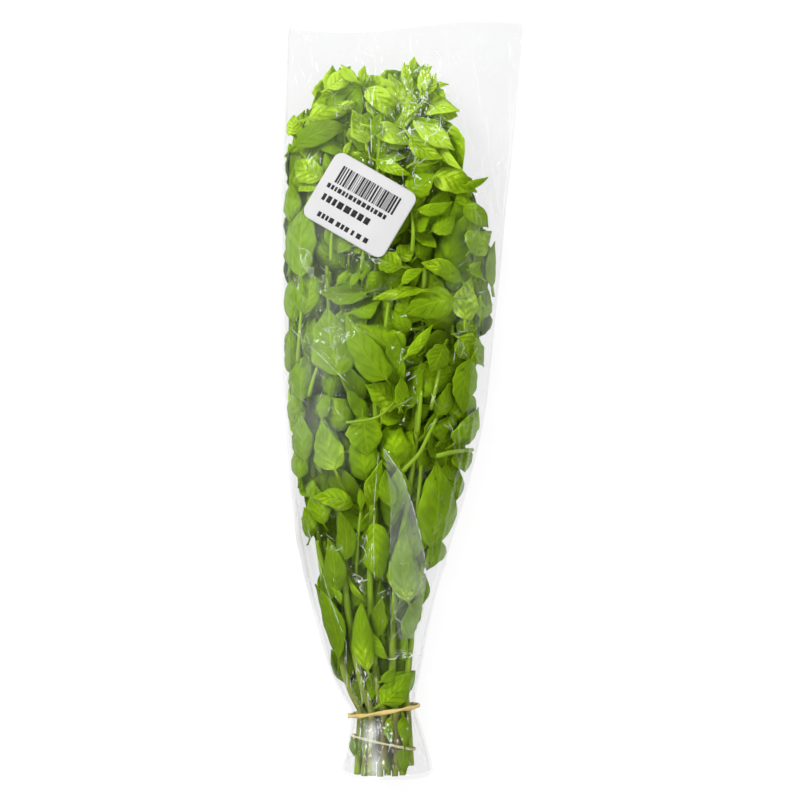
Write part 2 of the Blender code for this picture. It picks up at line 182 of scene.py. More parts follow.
def stem_path(row, neck_x, fan_place, y):
    """x and z of a stem's centre line at the heights y."""
    height, share, _ = row
    neck_centre, neck_half, _, _ = section(NECK_Y)
    spread = 1.0 + STEM_FOOT_SPREAD * (NECK_Y - y) / (NECK_Y - STEM_CUT_Y)
    below_x = neck_centre + (neck_x - neck_centre) * spread
    centre, half, _, _ = section(y)
    along = np.minimum(1.0, (y - NECK_Y) / (FAN_Y - NECK_Y))
    neck_place = (neck_x - neck_centre) / neck_half
    above_x = centre + half * (neck_place + (fan_place - neck_place) * along)
    lifted = smooth_step((y - STEM_LIFT_Y) / STEM_LIFT_REACH)
    above_z = height + (share * film_top(above_x, y) - height) * lifted
    below = y <= NECK_Y
    return np.where(below, below_x, above_x), np.where(below, height, above_z)


# ---------------------------------------------------------------- where the leaves are
# The CAD's leaves, with a tone each: base x, y, tip x, y, width, bow, hang, tone. The tone runs
# from 0, deep green, to 1, pale.
FRONT_LEAVES = (
    (-9, 11, -30, 46, 17, 0.06, 1.2, 0.72), (27, 54, 0, 45, 18, -0.05, 1.5, 0.6),
    (15, -79, 18, -32, 21, -0.05, 1.5, 0.68), (-54, 66, -51, 106, 17, 0.05, 1.0, 0.62),
    (-15, -66, -12, -96, 17, -0.04, 1.2, 0.78), (-21, -9, -19, -30, 19, 0.0, 1.0, 0.7),
    (-3, -3, -20, 8, 15, -0.06, 1.5, 0.86), (37, 22, 33, -7, 13, -0.08, 1.0, 0.64),
    (-33, 13, -40, 49, 23, 0.04, 1.0, 0.72), (28, -23, 41, -4, 12, -0.08, 1.0, 0.66),
    (3, 111, 18, 121, 14, 0.0, 1.2, 0.86), (17, 120, 40, 112, 15, 0.06, 1.2, 0.92),
    (-60, 137, -31, 147, 13, 0.08, 1.0, 0.5), (-43, 119, -58, 129, 14, 0.08, 1.0, 0.84),
    (6, 161, 31, 156, 10, 0.08, 0.8, 0.92), (8, 166, 6, 185, 10, -0.06, 0.8, 1.0),
    (-12, 166, 0, 179, 12, 0.05, 0.8, 0.88), (-38, 166, -38, 181, 10, 0.0, 0.6, 1.0),
    (-18, 166, -9, 147, 12, 0.05, 1.0, 0.92), (-22, 138, -27, 153, 12, 0.0, 1.0, 0.9),
    (19, 152, 32, 123, 11, 0.08, 1.0, 0.74), (-1, 71, -14, 78, 12, 0.08, 1.2, 0.85),
    (31, 64, 10, 73, 10, -0.08, 1.5, 0.84), (33, 43, 37, 66, 14, 0.05, 1.0, 0.9),
    (-19, 57, -45, 58, 11, 0.06, 1.0, 0.5), (-2, 7, -4, 35, 11, 0.05, 1.2, 0.6),
    (22, 29, 15, 15, 12, 0.0, 1.0, 0.6), (30, 33, 44, 18, 15, 0.05, 1.0, 0.76),
    (-36, -37, -43, -11, 16, 0.04, 1.0, 0.86), (-27, -56, -48, -52, 11, -0.08, 1.2, 0.8),
    (-6, -56, -9, -37, 9, 0.05, 1.0, 0.8), (-37, -132, -46, -99, 8, -0.06, 0.8, 0.8),
    (-18, -146, -23, -111, 10, 0.06, 0.8, 0.72), (2, -128, 12, -103, 9, 0.05, 0.8, 0.64),
    (-14, -161, 3, -146, 11, 0.05, 0.3, 0.88), (-6, -171, -7, -184, 7, 0.0, 0.0, 0.8),
)
BACK_LEAVES = (
    (10, 20, -12, 56, 19, 0.05, 1.2, 0.55), (-24, 60, -48, 92, 18, -0.05, 1.2, 0.6),
    (14, 84, 36, 112, 17, 0.06, 1.2, 0.5), (-14, 104, -22, 140, 17, 0.05, 1.0, 0.65),
    (-30, -24, -52, 8, 18, 0.05, 1.2, 0.55), (14, -40, 32, -8, 17, -0.05, 1.2, 0.5),
    (-10, -86, -22, -54, 15, 0.05, 1.0, 0.6),
)
# Smaller leaves that lie over the large ones: base x, y, tip x, y, width, tone.
UPPER_LEAVES = (
    (-22, -57, -23, -47, 4, 0.8), (36, 70, 42, 74, 5, 0.75), (42, 66, 36, 76, 5, 0.8),
    (-31, 131, -27, 139, 3, 0.8), (-31, 131, -22, 132, 3, 0.8), (-34, 62, -29, 69, 4, 0.8),
    (-27, 61, -22, 68, 4, 0.7), (-31, 66, -24, 63, 4, 0.75), (10, 166, 14, 181, 7, 1.0),
    (4, 167, 1, 182, 6, 0.95), (12, 165, 18, 176, 6, 0.9), (12, 170, 25, 170, 4, 0.8),
    (20, 168, 23, 163, 3, 0.8), (34, 115, 46, 120, 4, 0.8), (8, 101, 27, 106, 7, 0.75),
    (-1, -3, -1, 13, 8, 0.8), (0, 62, 12, 70, 6, 0.85), (10, 58, -16, 53, 6, 0.95),
    (3, 24, 16, 40, 6, 0.95), (-36, -102, -33, -109, 4, 0.8), (-11, -151, -4, -144, 6, 0.7),
    (0, 153, 14, 163, 6, 0.8), (-25, 172, -33, 181, 6, 1.0), (-22, 172, -20, 180, 4, 0.9),
    (-15, 142, -14, 151, 5, 0.5), (5, 172, 6.6, 185, 6, 1.0), (8, 170, 12, 182, 8, 1.0),
    (9, 163, 30.5, 155.4, 13, 0.95), (6, 153, 28, 134, 13, 0.92), (4, 141, 22, 129, 11, 0.86),
    (-17, 147, 5, 137, 11, 0.95), (-20, 138, -27, 156, 12, 0.88), (-19, 168, -4, 149, 12, 0.86),
    (-40, 168, -28, 180, 10, 0.92), (-2, 173, 12, 166, 9, 1.0), (-11, -163, 6.5, -147, 14, 0.78),
    (14, 178, 5, 167, 7, 1.0), (-2, 164, 10, 168, 8, 1.0), (19, 169, 23, 163, 4, 0.95),
    (-1, 153, 11, 160, 7, 0.9), (-3, 160, -3, 147, 7, 1.0), (-10, 139, 9, 142, 9, 0.92),
    (17, 143, 32, 123, 6, 0.95), (0, -171, 1, -188, 7, 0.45), (-27, -184, -26, -192, 4, 0.35),
    (1, -186, 2, -201, 7, 0.18),
)
# Leaves that lie over the stems at the lower left and over the gaps near the tips.
COVER_LEAVES = (
    (-34, -139, -47, -99, 11, 0.5), (-31, -153, -39, -135, 8, 0.62), (-19, -145, -22, -109, 12, 0.8),
    (-20, -125, -8, -139, 9, 0.82), (-38, -107, -40, -74, 12, 0.5), (-31, -86, -33, -60, 11, 0.42),
    (-28, -98, -19, -109, 3, 0.95), (-13, -127, -11, -105, 9, 0.5), (-21, -163, -13, -143, 9, 0.5),
    (-25, -160, -27, -147, 7, 0.45), (3, -108, 2, -69, 15, 0.85), (-14, 128, 5, 120, 7, 0.8),
    (6, 127, 24, 130, 8, 0.88), (-14, 135, 3, 131, 8, 0.85), (2, 139, 20, 134, 8, 0.9),
    (-27, 172, -9, 170, 8, 0.95),
)
# Leaves that show between and under the CAD's, in the same form.
UNDER_LEAVES = (
    (-23, 174, -3, 168, 7, 0.95), (-4, 146, -4, 160, 8, 0.9), (-50, 152, -22, 161, 9, 0.85),
    (-38, 160, -51, 156, 8, 0.8), (-41, 156, -46, 168, 9, 0.8), (-58, 143, -60, 154, 8, 0.85),
    (-58, 146, -53, 157, 5, 0.8), (-31, 134, -46, 136, 7, 0.6), (-60, 128, -63, 139, 7, 0.8),
    (-46, 118, -56, 112, 7, 0.95), (-10, 126, 5, 121, 5, 0.3), (2, 126, 27, 125, 10, 0.7),
    (22, 147, 4, 149, 11, 0.95), (7, 143, 18, 139, 8, 0.7), (14, 163, 26, 158, 8, 0.7),
    (6, 164, 16, 172, 9, 1.0), (2, 160, 12, 169, 9, 0.95), (-2, 168, 8, 175, 8, 0.95),
    (-24, 160, -6, 168, 13, 0.85), (-8, 150, 12, 163, 14, 0.92), (-14, 148, -15, 168, 12, 0.85),
    (10, 150, 27, 160, 11, 0.92), (3, 168, 4, 180, 9, 0.95), (-46, 163, -38, 175, 10, 0.9),
    (-31, 148, -18, 162, 12, 0.85), (-50, 140, -44, 156, 11, 0.75), (-52, -32, -54, -8, 10, 0.62),
    (-54, 0, -52, 24, 11, 0.62), (-53, 46, -50, 70, 11, 0.62), (-44, 22, -47, 44, 11, 0.66),
    (-42, -66, -46, -46, 10, 0.62), (-8, -167, 7, -147, 13, 0.7), (-12, -160, -16, -146, 8, 0.55),
    (-2, -172, -5, -186, 7, 0.75), (14, 160, 30, 154.5, 12, 0.95), (15, 149, 27, 144, 10, 0.88),
    (12, 172, 20, 168, 8, 0.95), (-62, 96, -62, 117, 8, 0.75), (-62, 72, -63, 94, 8, 0.6),
    (-61, 42, -63, 66, 8, 0.7), (-61, 14, -62, 38, 8, 0.6), (-60, -16, -62, 8, 8, 0.65),
    (-59, -42, -60, -20, 8, 0.6), (-50, -52, -56, -36, 8, 0.65), (-33, 164, -30, 178, 11, 0.88),
    (-22, 166, -16, 177, 9, 0.9), (18, 132, 28, 142, 9, 0.85), (-30, 168, -20, 176, 7, 0.95),
    (-36, 160, -26, 169, 8, 0.85), (4, 154, 16, 148, 9, 0.9), (16, 136, 26, 128, 8, 0.85),
    (-26, 128, -14, 136, 9, 0.8), (-20, 142, 0, 136, 9, 0.95), (33, 104, 46, 93, 9, 0.7),
    (6, 91, 14, 97, 7, 0.85), (16, 90, 28, 98, 9, 0.95), (6, 90, 18, 81, 7, 0.85),
    (36, 80, 48, 91, 12, 0.85), (48, 62, 50, 86, 5, 0.7), (-3, 76, 6, 83, 8, 0.85), (-6, 70, 5, 70, 7, 0.8),
    (-12, 68, -20, 57, 8, 0.9), (42, 44, 46, 61, 8, 0.75), (-48, 66, -43, 47, 8, 0.95),
    (-45, 61, -38, 68, 6, 0.8), (-46, 18, -50, 45, 12, 0.9), (30, 36, 42, 48, 9, 0.8),
    (12, 26, 29, 35, 11, 0.35), (2, -5, 11, 18, 9, 0.6), (19, -8, 25, 9, 8, 0.6),
    (-11, -12, 3, -3, 10, 0.75), (-20, -10, -30, 6, 7, 0.65), (-43, -9, -39, 3, 6, 0.8),
    (-57, -20, -58, 22, 9, 0.9), (-50, -20, -43, -40, 5, 0.85), (20, -22, 28, -8, 12, 0.6),
    (12, -18, 24, 0, 5, 0.65), (30, -27, 34, -39, 10, 0.6), (24, -34, 28, -44, 7, 0.55),
    (13, -26, 30, -25, 12, 0.6), (-18, -57, -11, -32, 8, 0.95), (-50, -74, -53, -58, 7, 0.75),
    (-25, -54, -38, -34, 13, 0.35), (-22, -92, -28, -78, 8, 0.95), (-1, -108, 6, -85, 10, 0.7),
    (2, -86, 4, -60, 13, 0.8), (6, -108, 5, -80, 13, 0.92), (-4, -60, -2, -34, 11, 0.7),
    (21, -76, 14, -92, 9, 0.6), (-40, -72, -34, -100, 9, 0.7), (-12, -141, -12, -119, 9, 0.6),
    (-8, -126, -12, -97, 9, 0.4), (-1, -145, 2, -118, 8, 0.75), (-32, -133, -38, -149, 8, 0.65),
    (-19, -149, -9, -136, 9, 0.75), (-26, -184, -26, -192, 4, 0.7), (-4, -186, -3, -200, 8, 0.15),
    (-9, -184, -9, -199, 7, 0.25), (-14, -170, -15, -186, 8, 0.3), (-27, -118, -22, -98, 10, 0.5),
    (-24, -122, -29, -103, 10, 0.42), (-3, -152, 3, -136, 9, 0.5), (-17, -122, -18, -102, 9, 0.55),
    (8, -112, 12, -94, 9, 0.5),
)
# Thin stems and stalks that show at the front: radius, then the points along each. The first ones
# lie on top of the CAD's leaves.
THIN_STEMS = (
    (1.1, ((-46, -76), (-37, -108), (-29, -143), (-25, -163))), (0.9, ((-25, -95), (-24, -75), (-22, -57))),
    (0.7, ((-24, -68), (-20, -62), (-15, -58))), (1.1, ((0, -38), (9, -29), (18, -10))),
    (0.8, ((-30, -12), (-20, -11), (-12, -9), (-3, 0))), (1.3, ((18, -30), (28, -27.5), (38, -27))),
    (1.0, ((-56, 20), (-55, 34), (-54, 47))), (1.0, ((-50, 2), (-47, 13), (-43, 24))),
    (0.9, ((-31, -96), (-27, -114), (-21, -136))), (1.1, ((8, -18), (9, -8), (10, 5))),
    (1.0, ((15, -5), (19, 12), (22, 30))), (1.2, ((8, -62), (9, -48), (10, -35))),
    (1.0, ((-38, 74), (-38, 86), (-36, 96))), (1.0, ((-22, 68), (-21, 78), (-18, 90))),
    (1.1, ((5, 78), (6, 90), (4, 102))), (1.0, ((-9, 38), (-8, 48), (-6, 60))),
    (1.2, ((-28, -158), (-29, -142), (-29, -120))), (1.0, ((-15, -166), (-17, -158), (-18, -150))),
    (1.2, ((-36, -118), (-40, -96), (-42, -76))), (1.1, ((-6, -120), (-4, -98), (0, -80))),
    (1.7, ((-20.5, -203), (-20, -185), (-22, -150))), (1.7, ((-16, -203), (-16, -185), (-18, -160))),
    (1.6, ((-12, -203.5), (-12.5, -185), (-13, -160))), (1.7, ((-8, -203), (-8.5, -185), (-8, -160))),
    (1.6, ((-4, -203.5), (-4.5, -185), (-3, -160))), (1.5, ((0, -203), (-0.5, -185), (0, -165))),
)
TOP_STALKS = 6
# Where foliage ends on either side, seen from above: y, left x, right x.
OUTLINE = np.array(
    (
        (-203, -24, 5), (-188, -25, 3), (-168, -25, 4), (-156, -30, 6), (-148, -37, 7), (-132, -38, 2),
        (-124, -41, 5), (-108, -48, 9), (-100, -47, 9), (-91, -46, 12), (-83, -47, 21), (-75, -50, 23),
        (-67, -54, 28), (-51, -56, 29), (-43, -57, 30), (-35, -59, 36), (-19, -61, 41), (-3, -62, 43),
        (13, -63, 42), (30, -64, 44), (46, -64, 48), (62, -64, 49), (78, -65, 50), (94, -65, 46),
        (110, -65, 42), (126, -64, 33), (142, -62, 24), (150, -61, 24), (158, -52, 26), (166, -46, 21),
        (175, -41, 15), (181, -36, 8), (186, -20, 6),
    ),
    float,
)
# Leaves laid by chance: how many are tried, widths, tones, from y to y, how lively, and how loosely
# they are packed. The loosest may lie among the stems.
# The later rows lie deeper and get darker tones, as painted shade.
FRONT_FILL = (
    (230, (11, 19), (0.52, 0.76), (-160, 176), 0.8, 0.08),
    (240, (11, 19), (0.42, 0.72), (-165, 174), 1.0, 0.13),
    (60, (5, 9), (0.35, 0.65), (-150, -60), 1.0, 0.12), (40, (5, 8), (0.3, 0.7), (-182, -145), 0.6, 0.08),
    (190, (11, 17), (0.28, 0.55), (-165, 170), 1.0, 0.18),
    (70, (5, 9), (0.05, 0.35), (-184, -120), 0.8, 0.18),
)
# Here too the deeper rows get darker tones, as painted shade.
BACK_FILL = (
    (150, (11, 18), (0.35, 0.75), (-165, 172), 0.8, 0.05),
    (30, (5, 8), (0.2, 0.55), (-180, -150), 0.6, 0.08),
    (140, (12, 18), (0.2, 0.55), (-165, 168), 1.0, 0.18),
)
LOOSEST = 0.1
# How much paler the leaves laid by chance are, from the foot to the tips.
TONE_Y = (-160, -90, -40, 20, 60, 130, 165)
TONE_RISE = (-0.02, 0.05, 0.04, 0.01, 0.0, 0.20, 0.36)
# Every leaf near the tips is paler still, by the y of its base.
YOUNG_Y = (115, 155)
YOUNG_RISE = (0.0, 0.14)
# Large leaves in the middle of the bunch, given dark tones as painted shade: how far apart, across and
# along, and their tones.
CORE_STEP = (13.0, 19.0)
CORE_SHADE_TONES = (0.04, 0.30)
# Their tones rise towards the tips, so the painted shade is lighter there.
CORE_TONE_Y = (105, 150)
CORE_TONE_RISE = (0.0, 0.72)
CORE_REACH = 0.93
CORE_INSET = 3.0
# How near a leaf may come to the film behind, in front and at the sides.
BACK_GAP = 0.45
FRONT_GAP = 0.20
SIDE_REACH = 0.97


def outline(y):
    return np.interp(y, OUTLINE[:, 0], OUTLINE[:, 1]), np.interp(y, OUTLINE[:, 0], OUTLINE[:, 2])


# ---------------------------------------------------------------- noise
def lattice(i, j, seed):
    """A number between -1 and 1 for each whole-numbered point."""
    n = (i * 374761393 + j * 668265263 + seed * 974634777) & 0xFFFFFFFF
    n = ((n ^ (n >> 13)) * 1274126177) & 0xFFFFFFFF
    return ((n ^ (n >> 16)) & 0xFFFF) / 32767.5 - 1.0


def noise(x, y, seed):
    """Smooth noise between -1 and 1, one lump to each unit."""
    i = np.floor(x).astype(np.int64)
    j = np.floor(y).astype(np.int64)
    u = smooth_step(x - i)
    v = smooth_step(y - j)
    near = lattice(i, j, seed) * (1 - u) + lattice(i + 1, j, seed) * u
    far = lattice(i, j + 1, seed) * (1 - u) + lattice(i + 1, j + 1, seed) * u
    return near * (1 - v) + far * v


def ridged(x, y, seed):
    """Sharp ridges between rounded hollows, from 0 to 1."""
    return (1.0 - np.abs(noise(x, y, seed))) ** 2.0


# ---------------------------------------------------------------- the pile of leaves
CELL = 1.0
PILE_X = (-76.0, 76.0)
PILE_Y = (-216.0, 216.0)
MARGIN = 8
FILM_ALLOWANCE = 0.4
# Where the filling leaves of each side end, as a share of the sleeve's depth.
FRONT_FLOOR = 0.36
BACK_FLOOR = 0.34
# Length in mm over which a stiff leaf's underlay is smoothed.
STIFF_SPAN = 20


def cell(x, y):
    """The pile's coordinates at a place."""
    return (x - PILE_X[0]) / CELL, (y - PILE_Y[0]) / CELL


def shifts(grid):
    """The grid and its eight neighbours."""
    wide = np.pad(grid, 1, mode="edge")
    rows, columns = grid.shape
    return np.stack([wide[i : i + rows, j : j + columns] for i in range(3) for j in range(3)])


def finer(grid, times):
    for _ in range(times):
        for _ in range(2):
            wider = np.empty((2 * len(grid) - 1, grid.shape[1]))
            wider[0::2] = grid
            wider[1::2] = (grid[1:] + grid[:-1]) / 2
            grid = wider.T
    return grid


def bilinear(grid, across, along):
    i = np.clip(across.astype(int), 0, grid.shape[0] - 2)
    j = np.clip(along.astype(int), 0, grid.shape[1] - 2)
    u = across - i
    v = along - j
    near = grid[i, j] * (1 - u) + grid[i + 1, j] * u
    far = grid[i, j + 1] * (1 - u) + grid[i + 1, j + 1] * u
    return near * (1 - v) + far * v


class Pile:
    """The room left under what has been laid so far. Heights count outwards, so down at the back."""

    def __init__(self, side):
        self.side = side
        x = np.arange(PILE_X[0], PILE_X[1] + CELL, CELL)
        y = np.arange(PILE_Y[0], PILE_Y[1] + CELL, CELL)
        self.x, self.y = np.meshgrid(x, y, indexing="ij")
        top = film_top(self.x, self.y)
        bottom = film_bottom(self.x, self.y)
        self.room = (top if side > 0 else -bottom) - FILM_ALLOWANCE - GAP
        self.ceiling = self.room.copy()
        self.floor = side * (bottom + (FRONT_FLOOR if side > 0 else BACK_FLOOR) * (top - bottom))
        self.limit = self.floor.copy()
        self.layers = np.zeros_like(self.room)

    def window(self, x, y):
        i = int(max(0, (x.min() - PILE_X[0]) // CELL - MARGIN))
        j = int(max(0, (y.min() - PILE_Y[0]) // CELL - MARGIN))
        i_end = int((x.max() - PILE_X[0]) // CELL + MARGIN)
        j_end = int((y.max() - PILE_Y[0]) // CELL + MARGIN)
        return i, j, slice(i, i_end), slice(j, j_end)

    def settle(self, x, y, shape, thickness, stiff, refining, loose=0.0):
        """Heights of a leaf laid under the pile, or None where there is no room for it. Loose is the
        share of it that may touch its neighbours; a leaf with none always finds a place."""
        i, j, rows, columns = self.window(x, y)
        room = self.room[rows, columns]
        soft = room
        for _ in range(3):
            soft = shifts(soft).min(axis=0)
        for _ in range(3):
            soft = shifts(soft).mean(axis=0)
        soft = np.minimum(soft, room)
        across_cells, along_cells = cell(x, y)
        across_cells, along_cells = across_cells - i, along_cells - j
        base = bilinear(soft, across_cells, along_cells)
        if stiff > 0:
            u = (x - x.mean()).ravel() / STIFF_SPAN
            v = (y - y.mean()).ravel() / STIFF_SPAN
            terms = np.stack([np.ones_like(u), u, v, u * u, u * v, v * v], axis=1)
            found = np.linalg.lstsq(terms, base.ravel(), rcond=None)[0]
            base = base * (1 - stiff) + (terms @ found).reshape(base.shape) * stiff
        height = base + shape
        fine_x = finer(across_cells, refining)
        fine_y = finer(along_cells, refining)
        fine_height = finer(height, refining)
        above = fine_height - bilinear(room, fine_x, fine_y)
        past_film = fine_height - bilinear(self.ceiling[rows, columns], fine_x, fine_y)
        drop = max(float(np.quantile(above, 1.0 - loose)), float(np.max(past_film))) + GAP
        under = fine_height - drop - finer(thickness, refining) - GAP
        near_i = np.round(fine_x).astype(int)
        near_j = np.round(fine_y).astype(int)
        if loose > 0:
            spare = under - self.limit[rows, columns][near_i, near_j]
            if np.quantile(spare, 2.0 * loose) < 0:
                return None
        for step_i in (-1, 0, 1):
            for step_j in (-1, 0, 1):
                np.minimum.at(room, (near_i + step_i, near_j + step_j), under)
        laid = np.zeros(room.shape, bool)
        laid[near_i, near_j] = True
        self.layers[rows, columns][laid] += 1
        return (height - drop) * self.side


# ---------------------------------------------------------------- meshes
# Sizes of the two rings inside a cut end, as shares of the bar's own.
CUT_RINGS = (0.6, 0.02)


def grid_quads(index):
    """The quads between the points of a grid of point numbers."""
    corners = (index[:-1, :-1], index[:-1, 1:], index[1:, 1:], index[1:, :-1])
    return np.stack(corners, axis=-1).reshape(-1, 4)


def wrapped(index):
    """A grid of point numbers with its first column again at the end."""
    return np.concatenate([index, index[:, :1]], axis=1)


def solid_sheet(top, thickness):
    """A closed thin solid from a grid of points on its outer side: points and quads."""
    rows, columns = top.shape[:2]
    run = np.gradient(top, axis=0)
    across = np.gradient(top, axis=1)
    normal = np.cross(across, run)
    normal /= np.linalg.norm(normal, axis=-1, keepdims=True) + 1e-12
    under = top - normal * thickness[..., None]
    points = np.concatenate([top.reshape(-1, 3), under.reshape(-1, 3)])
    index = np.arange(rows * columns).reshape(rows, columns)
    upper = grid_quads(index)
    lower = upper[:, ::-1] + rows * columns
    edge = np.concatenate([index[0, :], index[1:, -1], index[-1, -2::-1], index[-2:0:-1, 0]])
    after = np.roll(edge, -1)
    rim = np.stack([after, edge, edge + rows * columns, after + rows * columns], axis=-1)
    return points, np.concatenate([upper, lower, rim])


def add_object(name, data):
    holder = bpy.data.objects.new(name, data)
    bpy.context.scene.collection.objects.link(holder)
    return holder


def make_piece(name, points, quads, material, nodes=(), values=None, bake=None):
    """An object from points in mm, quads, named values per point and an OFBake map per point. It has
    its body, its finish and the CAD nodes that it stands for."""
    mesh = bpy.data.meshes.new(name)
    mesh.vertices.add(len(points))
    mesh.vertices.foreach_set("co", (np.asarray(points) * MM).astype(np.float32).ravel())
    quads = np.asarray(quads, np.int32)
    mesh.loops.add(quads.size)
    mesh.loops.foreach_set("vertex_index", quads.ravel())
    mesh.polygons.add(len(quads))
    mesh.polygons.foreach_set("loop_start", np.arange(0, quads.size, 4, dtype=np.int32))
    mesh.update(calc_edges=True)
    mesh.polygons.foreach_set("use_smooth", np.ones(len(quads), bool))
    mesh.materials.append(material)
    for key, value in (values or {}).items():
        attribute = mesh.attributes.new(key, "FLOAT", "POINT")
        attribute.data.foreach_set("value", np.asarray(value, np.float32).ravel())
    if bake is not None:
        layer = mesh.uv_layers.new(name="OFBake")
        layer.data.foreach_set("uv", np.asarray(bake, np.float32)[quads.ravel()].ravel())
    mesh.validate(clean_customdata=False)
    piece = add_object(name, mesh)
    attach(piece, BODY)
    if nodes:
        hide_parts(*nodes)
    return piece


def tube(path, radii, sides, lobes=0, lobe_height=0.0, closed=False, turns=0.0, flat=1.0):
    """A bar along a path: points, quads, and 1 at the points of its end faces."""
    path = np.asarray(path, float)
    count = len(path)
    if closed:
        tangent = np.roll(path, -1, axis=0) - np.roll(path, 1, axis=0)
    else:
        tangent = np.gradient(path, axis=0)
    tangent /= np.linalg.norm(tangent, axis=1, keepdims=True)
    side = np.cross(tangent, (0.0, 0.0, 1.0))
    side /= np.linalg.norm(side, axis=1, keepdims=True) + 1e-9
    up = np.cross(side, tangent)
    angle = 2 * math.pi * np.arange(sides) / sides
    bulge = 1.0 + lobe_height * np.cos(lobes * angle)
    radii = np.broadcast_to(radii, (count,))
    u = np.cos(angle)[None, :] * bulge * radii[:, None]
    v = np.sin(angle)[None, :] * bulge * radii[:, None] * flat
    turn = 2 * math.pi * turns * np.arange(count)[:, None] / count
    u, v = u * np.cos(turn) - v * np.sin(turn), u * np.sin(turn) + v * np.cos(turn)
    ring = path[:, None] + u[..., None] * side[:, None] + v[..., None] * up[:, None]
    points = ring.reshape(-1, 3)
    index = np.arange(count * sides).reshape(count, sides)
    if closed:
        index = np.concatenate([index, index[:1]])
    quads = grid_quads(wrapped(index))
    cut = np.zeros(len(points))
    if closed:
        return points, quads, cut
    start = len(points)
    inner = [path[end] + (ring[end] - path[end]) * share for end in (0, -1) for share in CUT_RINGS]
    cut = np.concatenate([cut, np.ones(4 * sides)])
    for number, end in enumerate((0, count - 1)):
        rings = [np.arange(sides) + end * sides]
        rings += [start + (2 * number + k) * sides + np.arange(sides) for k in (0, 1)]
        faces = [np.stack([a, np.roll(a, -1), np.roll(b, -1), b], axis=-1) for a, b in zip(rings, rings[1:])]
        k = np.arange(sides // 2 - 1)
        faces.append(rings[-1][np.stack([k, k + 1, sides - 2 - k, sides - 1 - k], axis=-1)])
        faces = np.concatenate(faces)
        quads = np.concatenate([quads, faces if number else faces[:, ::-1]])
    return np.concatenate([points, *inner]), quads, cut


def joined(parts):
    """Several (points, quads, values) as one, where values is a dict of arrays or numbers."""
    points, quads, values, start = [], [], {}, 0
    for part_points, part_quads, part_values in parts:
        points.append(part_points)
        quads.append(part_quads + start)
        start += len(part_points)
        for key, value in part_values.items():
            values.setdefault(key, []).append(np.broadcast_to(value, (len(part_points),)))
    values = {key: np.concatenate(value) for key, value in values.items()}
    return np.concatenate(points), np.concatenate(quads), values


# ---------------------------------------------------------------- one leaf
LEAF = 0.3
STALK = 0.45
STALK_START = -0.24
STALK_ROWS = 3
VEIN_PAIRS = 5.5
VEIN_SLANT = 0.30
# Rows and columns of a leaf's grid, and how many times it is halved while it settles.
FINE_GRID = (25, 15, 1)
PLAIN_GRID = (13, 9, 2)
CORE_GRID = (11, 7)
# Share of a tile of the OFBake map that stays empty at its edge.
TILE_EDGE = 0.04
# A leaf's outline: how far back it is widest, how pointed it is, and its margins' slow and quick waves
# as turns along the leaf and heights as shares of the width.
FATTEST = (0.58, 0.84)
POINTED = (0.12, 0.62)
SLOW_TURNS, SLOW_WAVE = (1.0, 2.2), (0.03, 0.12)
QUICK_TURNS, QUICK_WAVE = (3.0, 5.0), (0.015, 0.055)
# A lively leaf's fold along the midrib, roll, pitch and twist, as slopes.
FOLD = (-0.30, 0.50)
ROLL, PITCH, TWIST = 0.26, 0.14, 0.35
# How far its ends curl and its tip hooks, in mm on a leaf 14 mm wide, as the rest are too.
LEAF_WIDTH = 14.0
CURL = 1.2
HOOK = 1.0
MIDRIB_DIP = 0.25
QUILT = 0.50
LUMPS = 0.62
# Waves of the leaf's edge: turns along the leaf, and height.
EDGE_WAVES = (((1.4, 2.4), 0.75), ((3.0, 4.5), 0.30))
MIDRIB = 0.35
STIFFEST = 0.7


def wave(turns):
    return np.sin(2 * math.pi * turns)


def leaf_grid(base, tip, width, bow, side, rows, columns, rng):
    """Places seen from above, along, across, half the width and the length of a leaf."""
    base = np.array(base, float)
    forward = np.array(tip, float) - base
    length = float(np.hypot(*forward))
    sideways = np.array([-forward[1], forward[0]]) / length
    stalk = np.linspace(STALK_START, -0.05, STALK_ROWS)
    along = np.concatenate([stalk, np.linspace(0.0, 1.0, rows) ** 0.92])
    blade = np.clip(along, 0.0, 1.0)
    fat = rng.uniform(*FATTEST)
    half = width / 2 * np.sin(math.pi * blade**fat) ** (0.66 + rng.uniform(*POINTED) * blade)
    half = np.maximum(half, STALK * (1.0 - 0.75 * blade))
    margins = []
    for _ in range(2):
        slow = wave(rng.uniform(*SLOW_TURNS) * blade + rng.uniform(0, 1))
        quick = wave(rng.uniform(*QUICK_TURNS) * blade + rng.uniform(0, 1))
        margins.append(1.0 + rng.uniform(*SLOW_WAVE) * slow + rng.uniform(*QUICK_WAVE) * quick)
    bowed = bow * length * 4 * along * (1 - along)
    middle = base + np.outer(along, forward) + np.outer(bowed, sideways)
    spread = np.linspace(-1.0, 1.0, columns)
    spread = np.sign(spread) * np.abs(spread) ** 0.9
    uneven = np.where(spread[None, :] < 0, margins[0][:, None], margins[1][:, None])
    across = np.outer(half, spread * side) * uneven
    x = middle[:, :1] + across * sideways[0]
    y = middle[:, 1:] + across * sideways[1]
    return x, y, along[:, None], spread[None, :], half[:, None], length


def between(low, high, z):
    """Heights kept between low and high, or half-way where there is no room."""
    return np.where(low < high, np.clip(z, low, high), (low + high) / 2)


def inside_sleeve(x, y, z, thickness, side, lift):
    """Heights kept in the sleeve; side says which face of the leaf z is for."""
    low = film_bottom(x, y) + BACK_GAP + lift + (thickness if side > 0 else 0.0)
    high = film_top(x, y) - FRONT_GAP - (thickness if side < 0 else 0.0)
    return between(low, high, z)


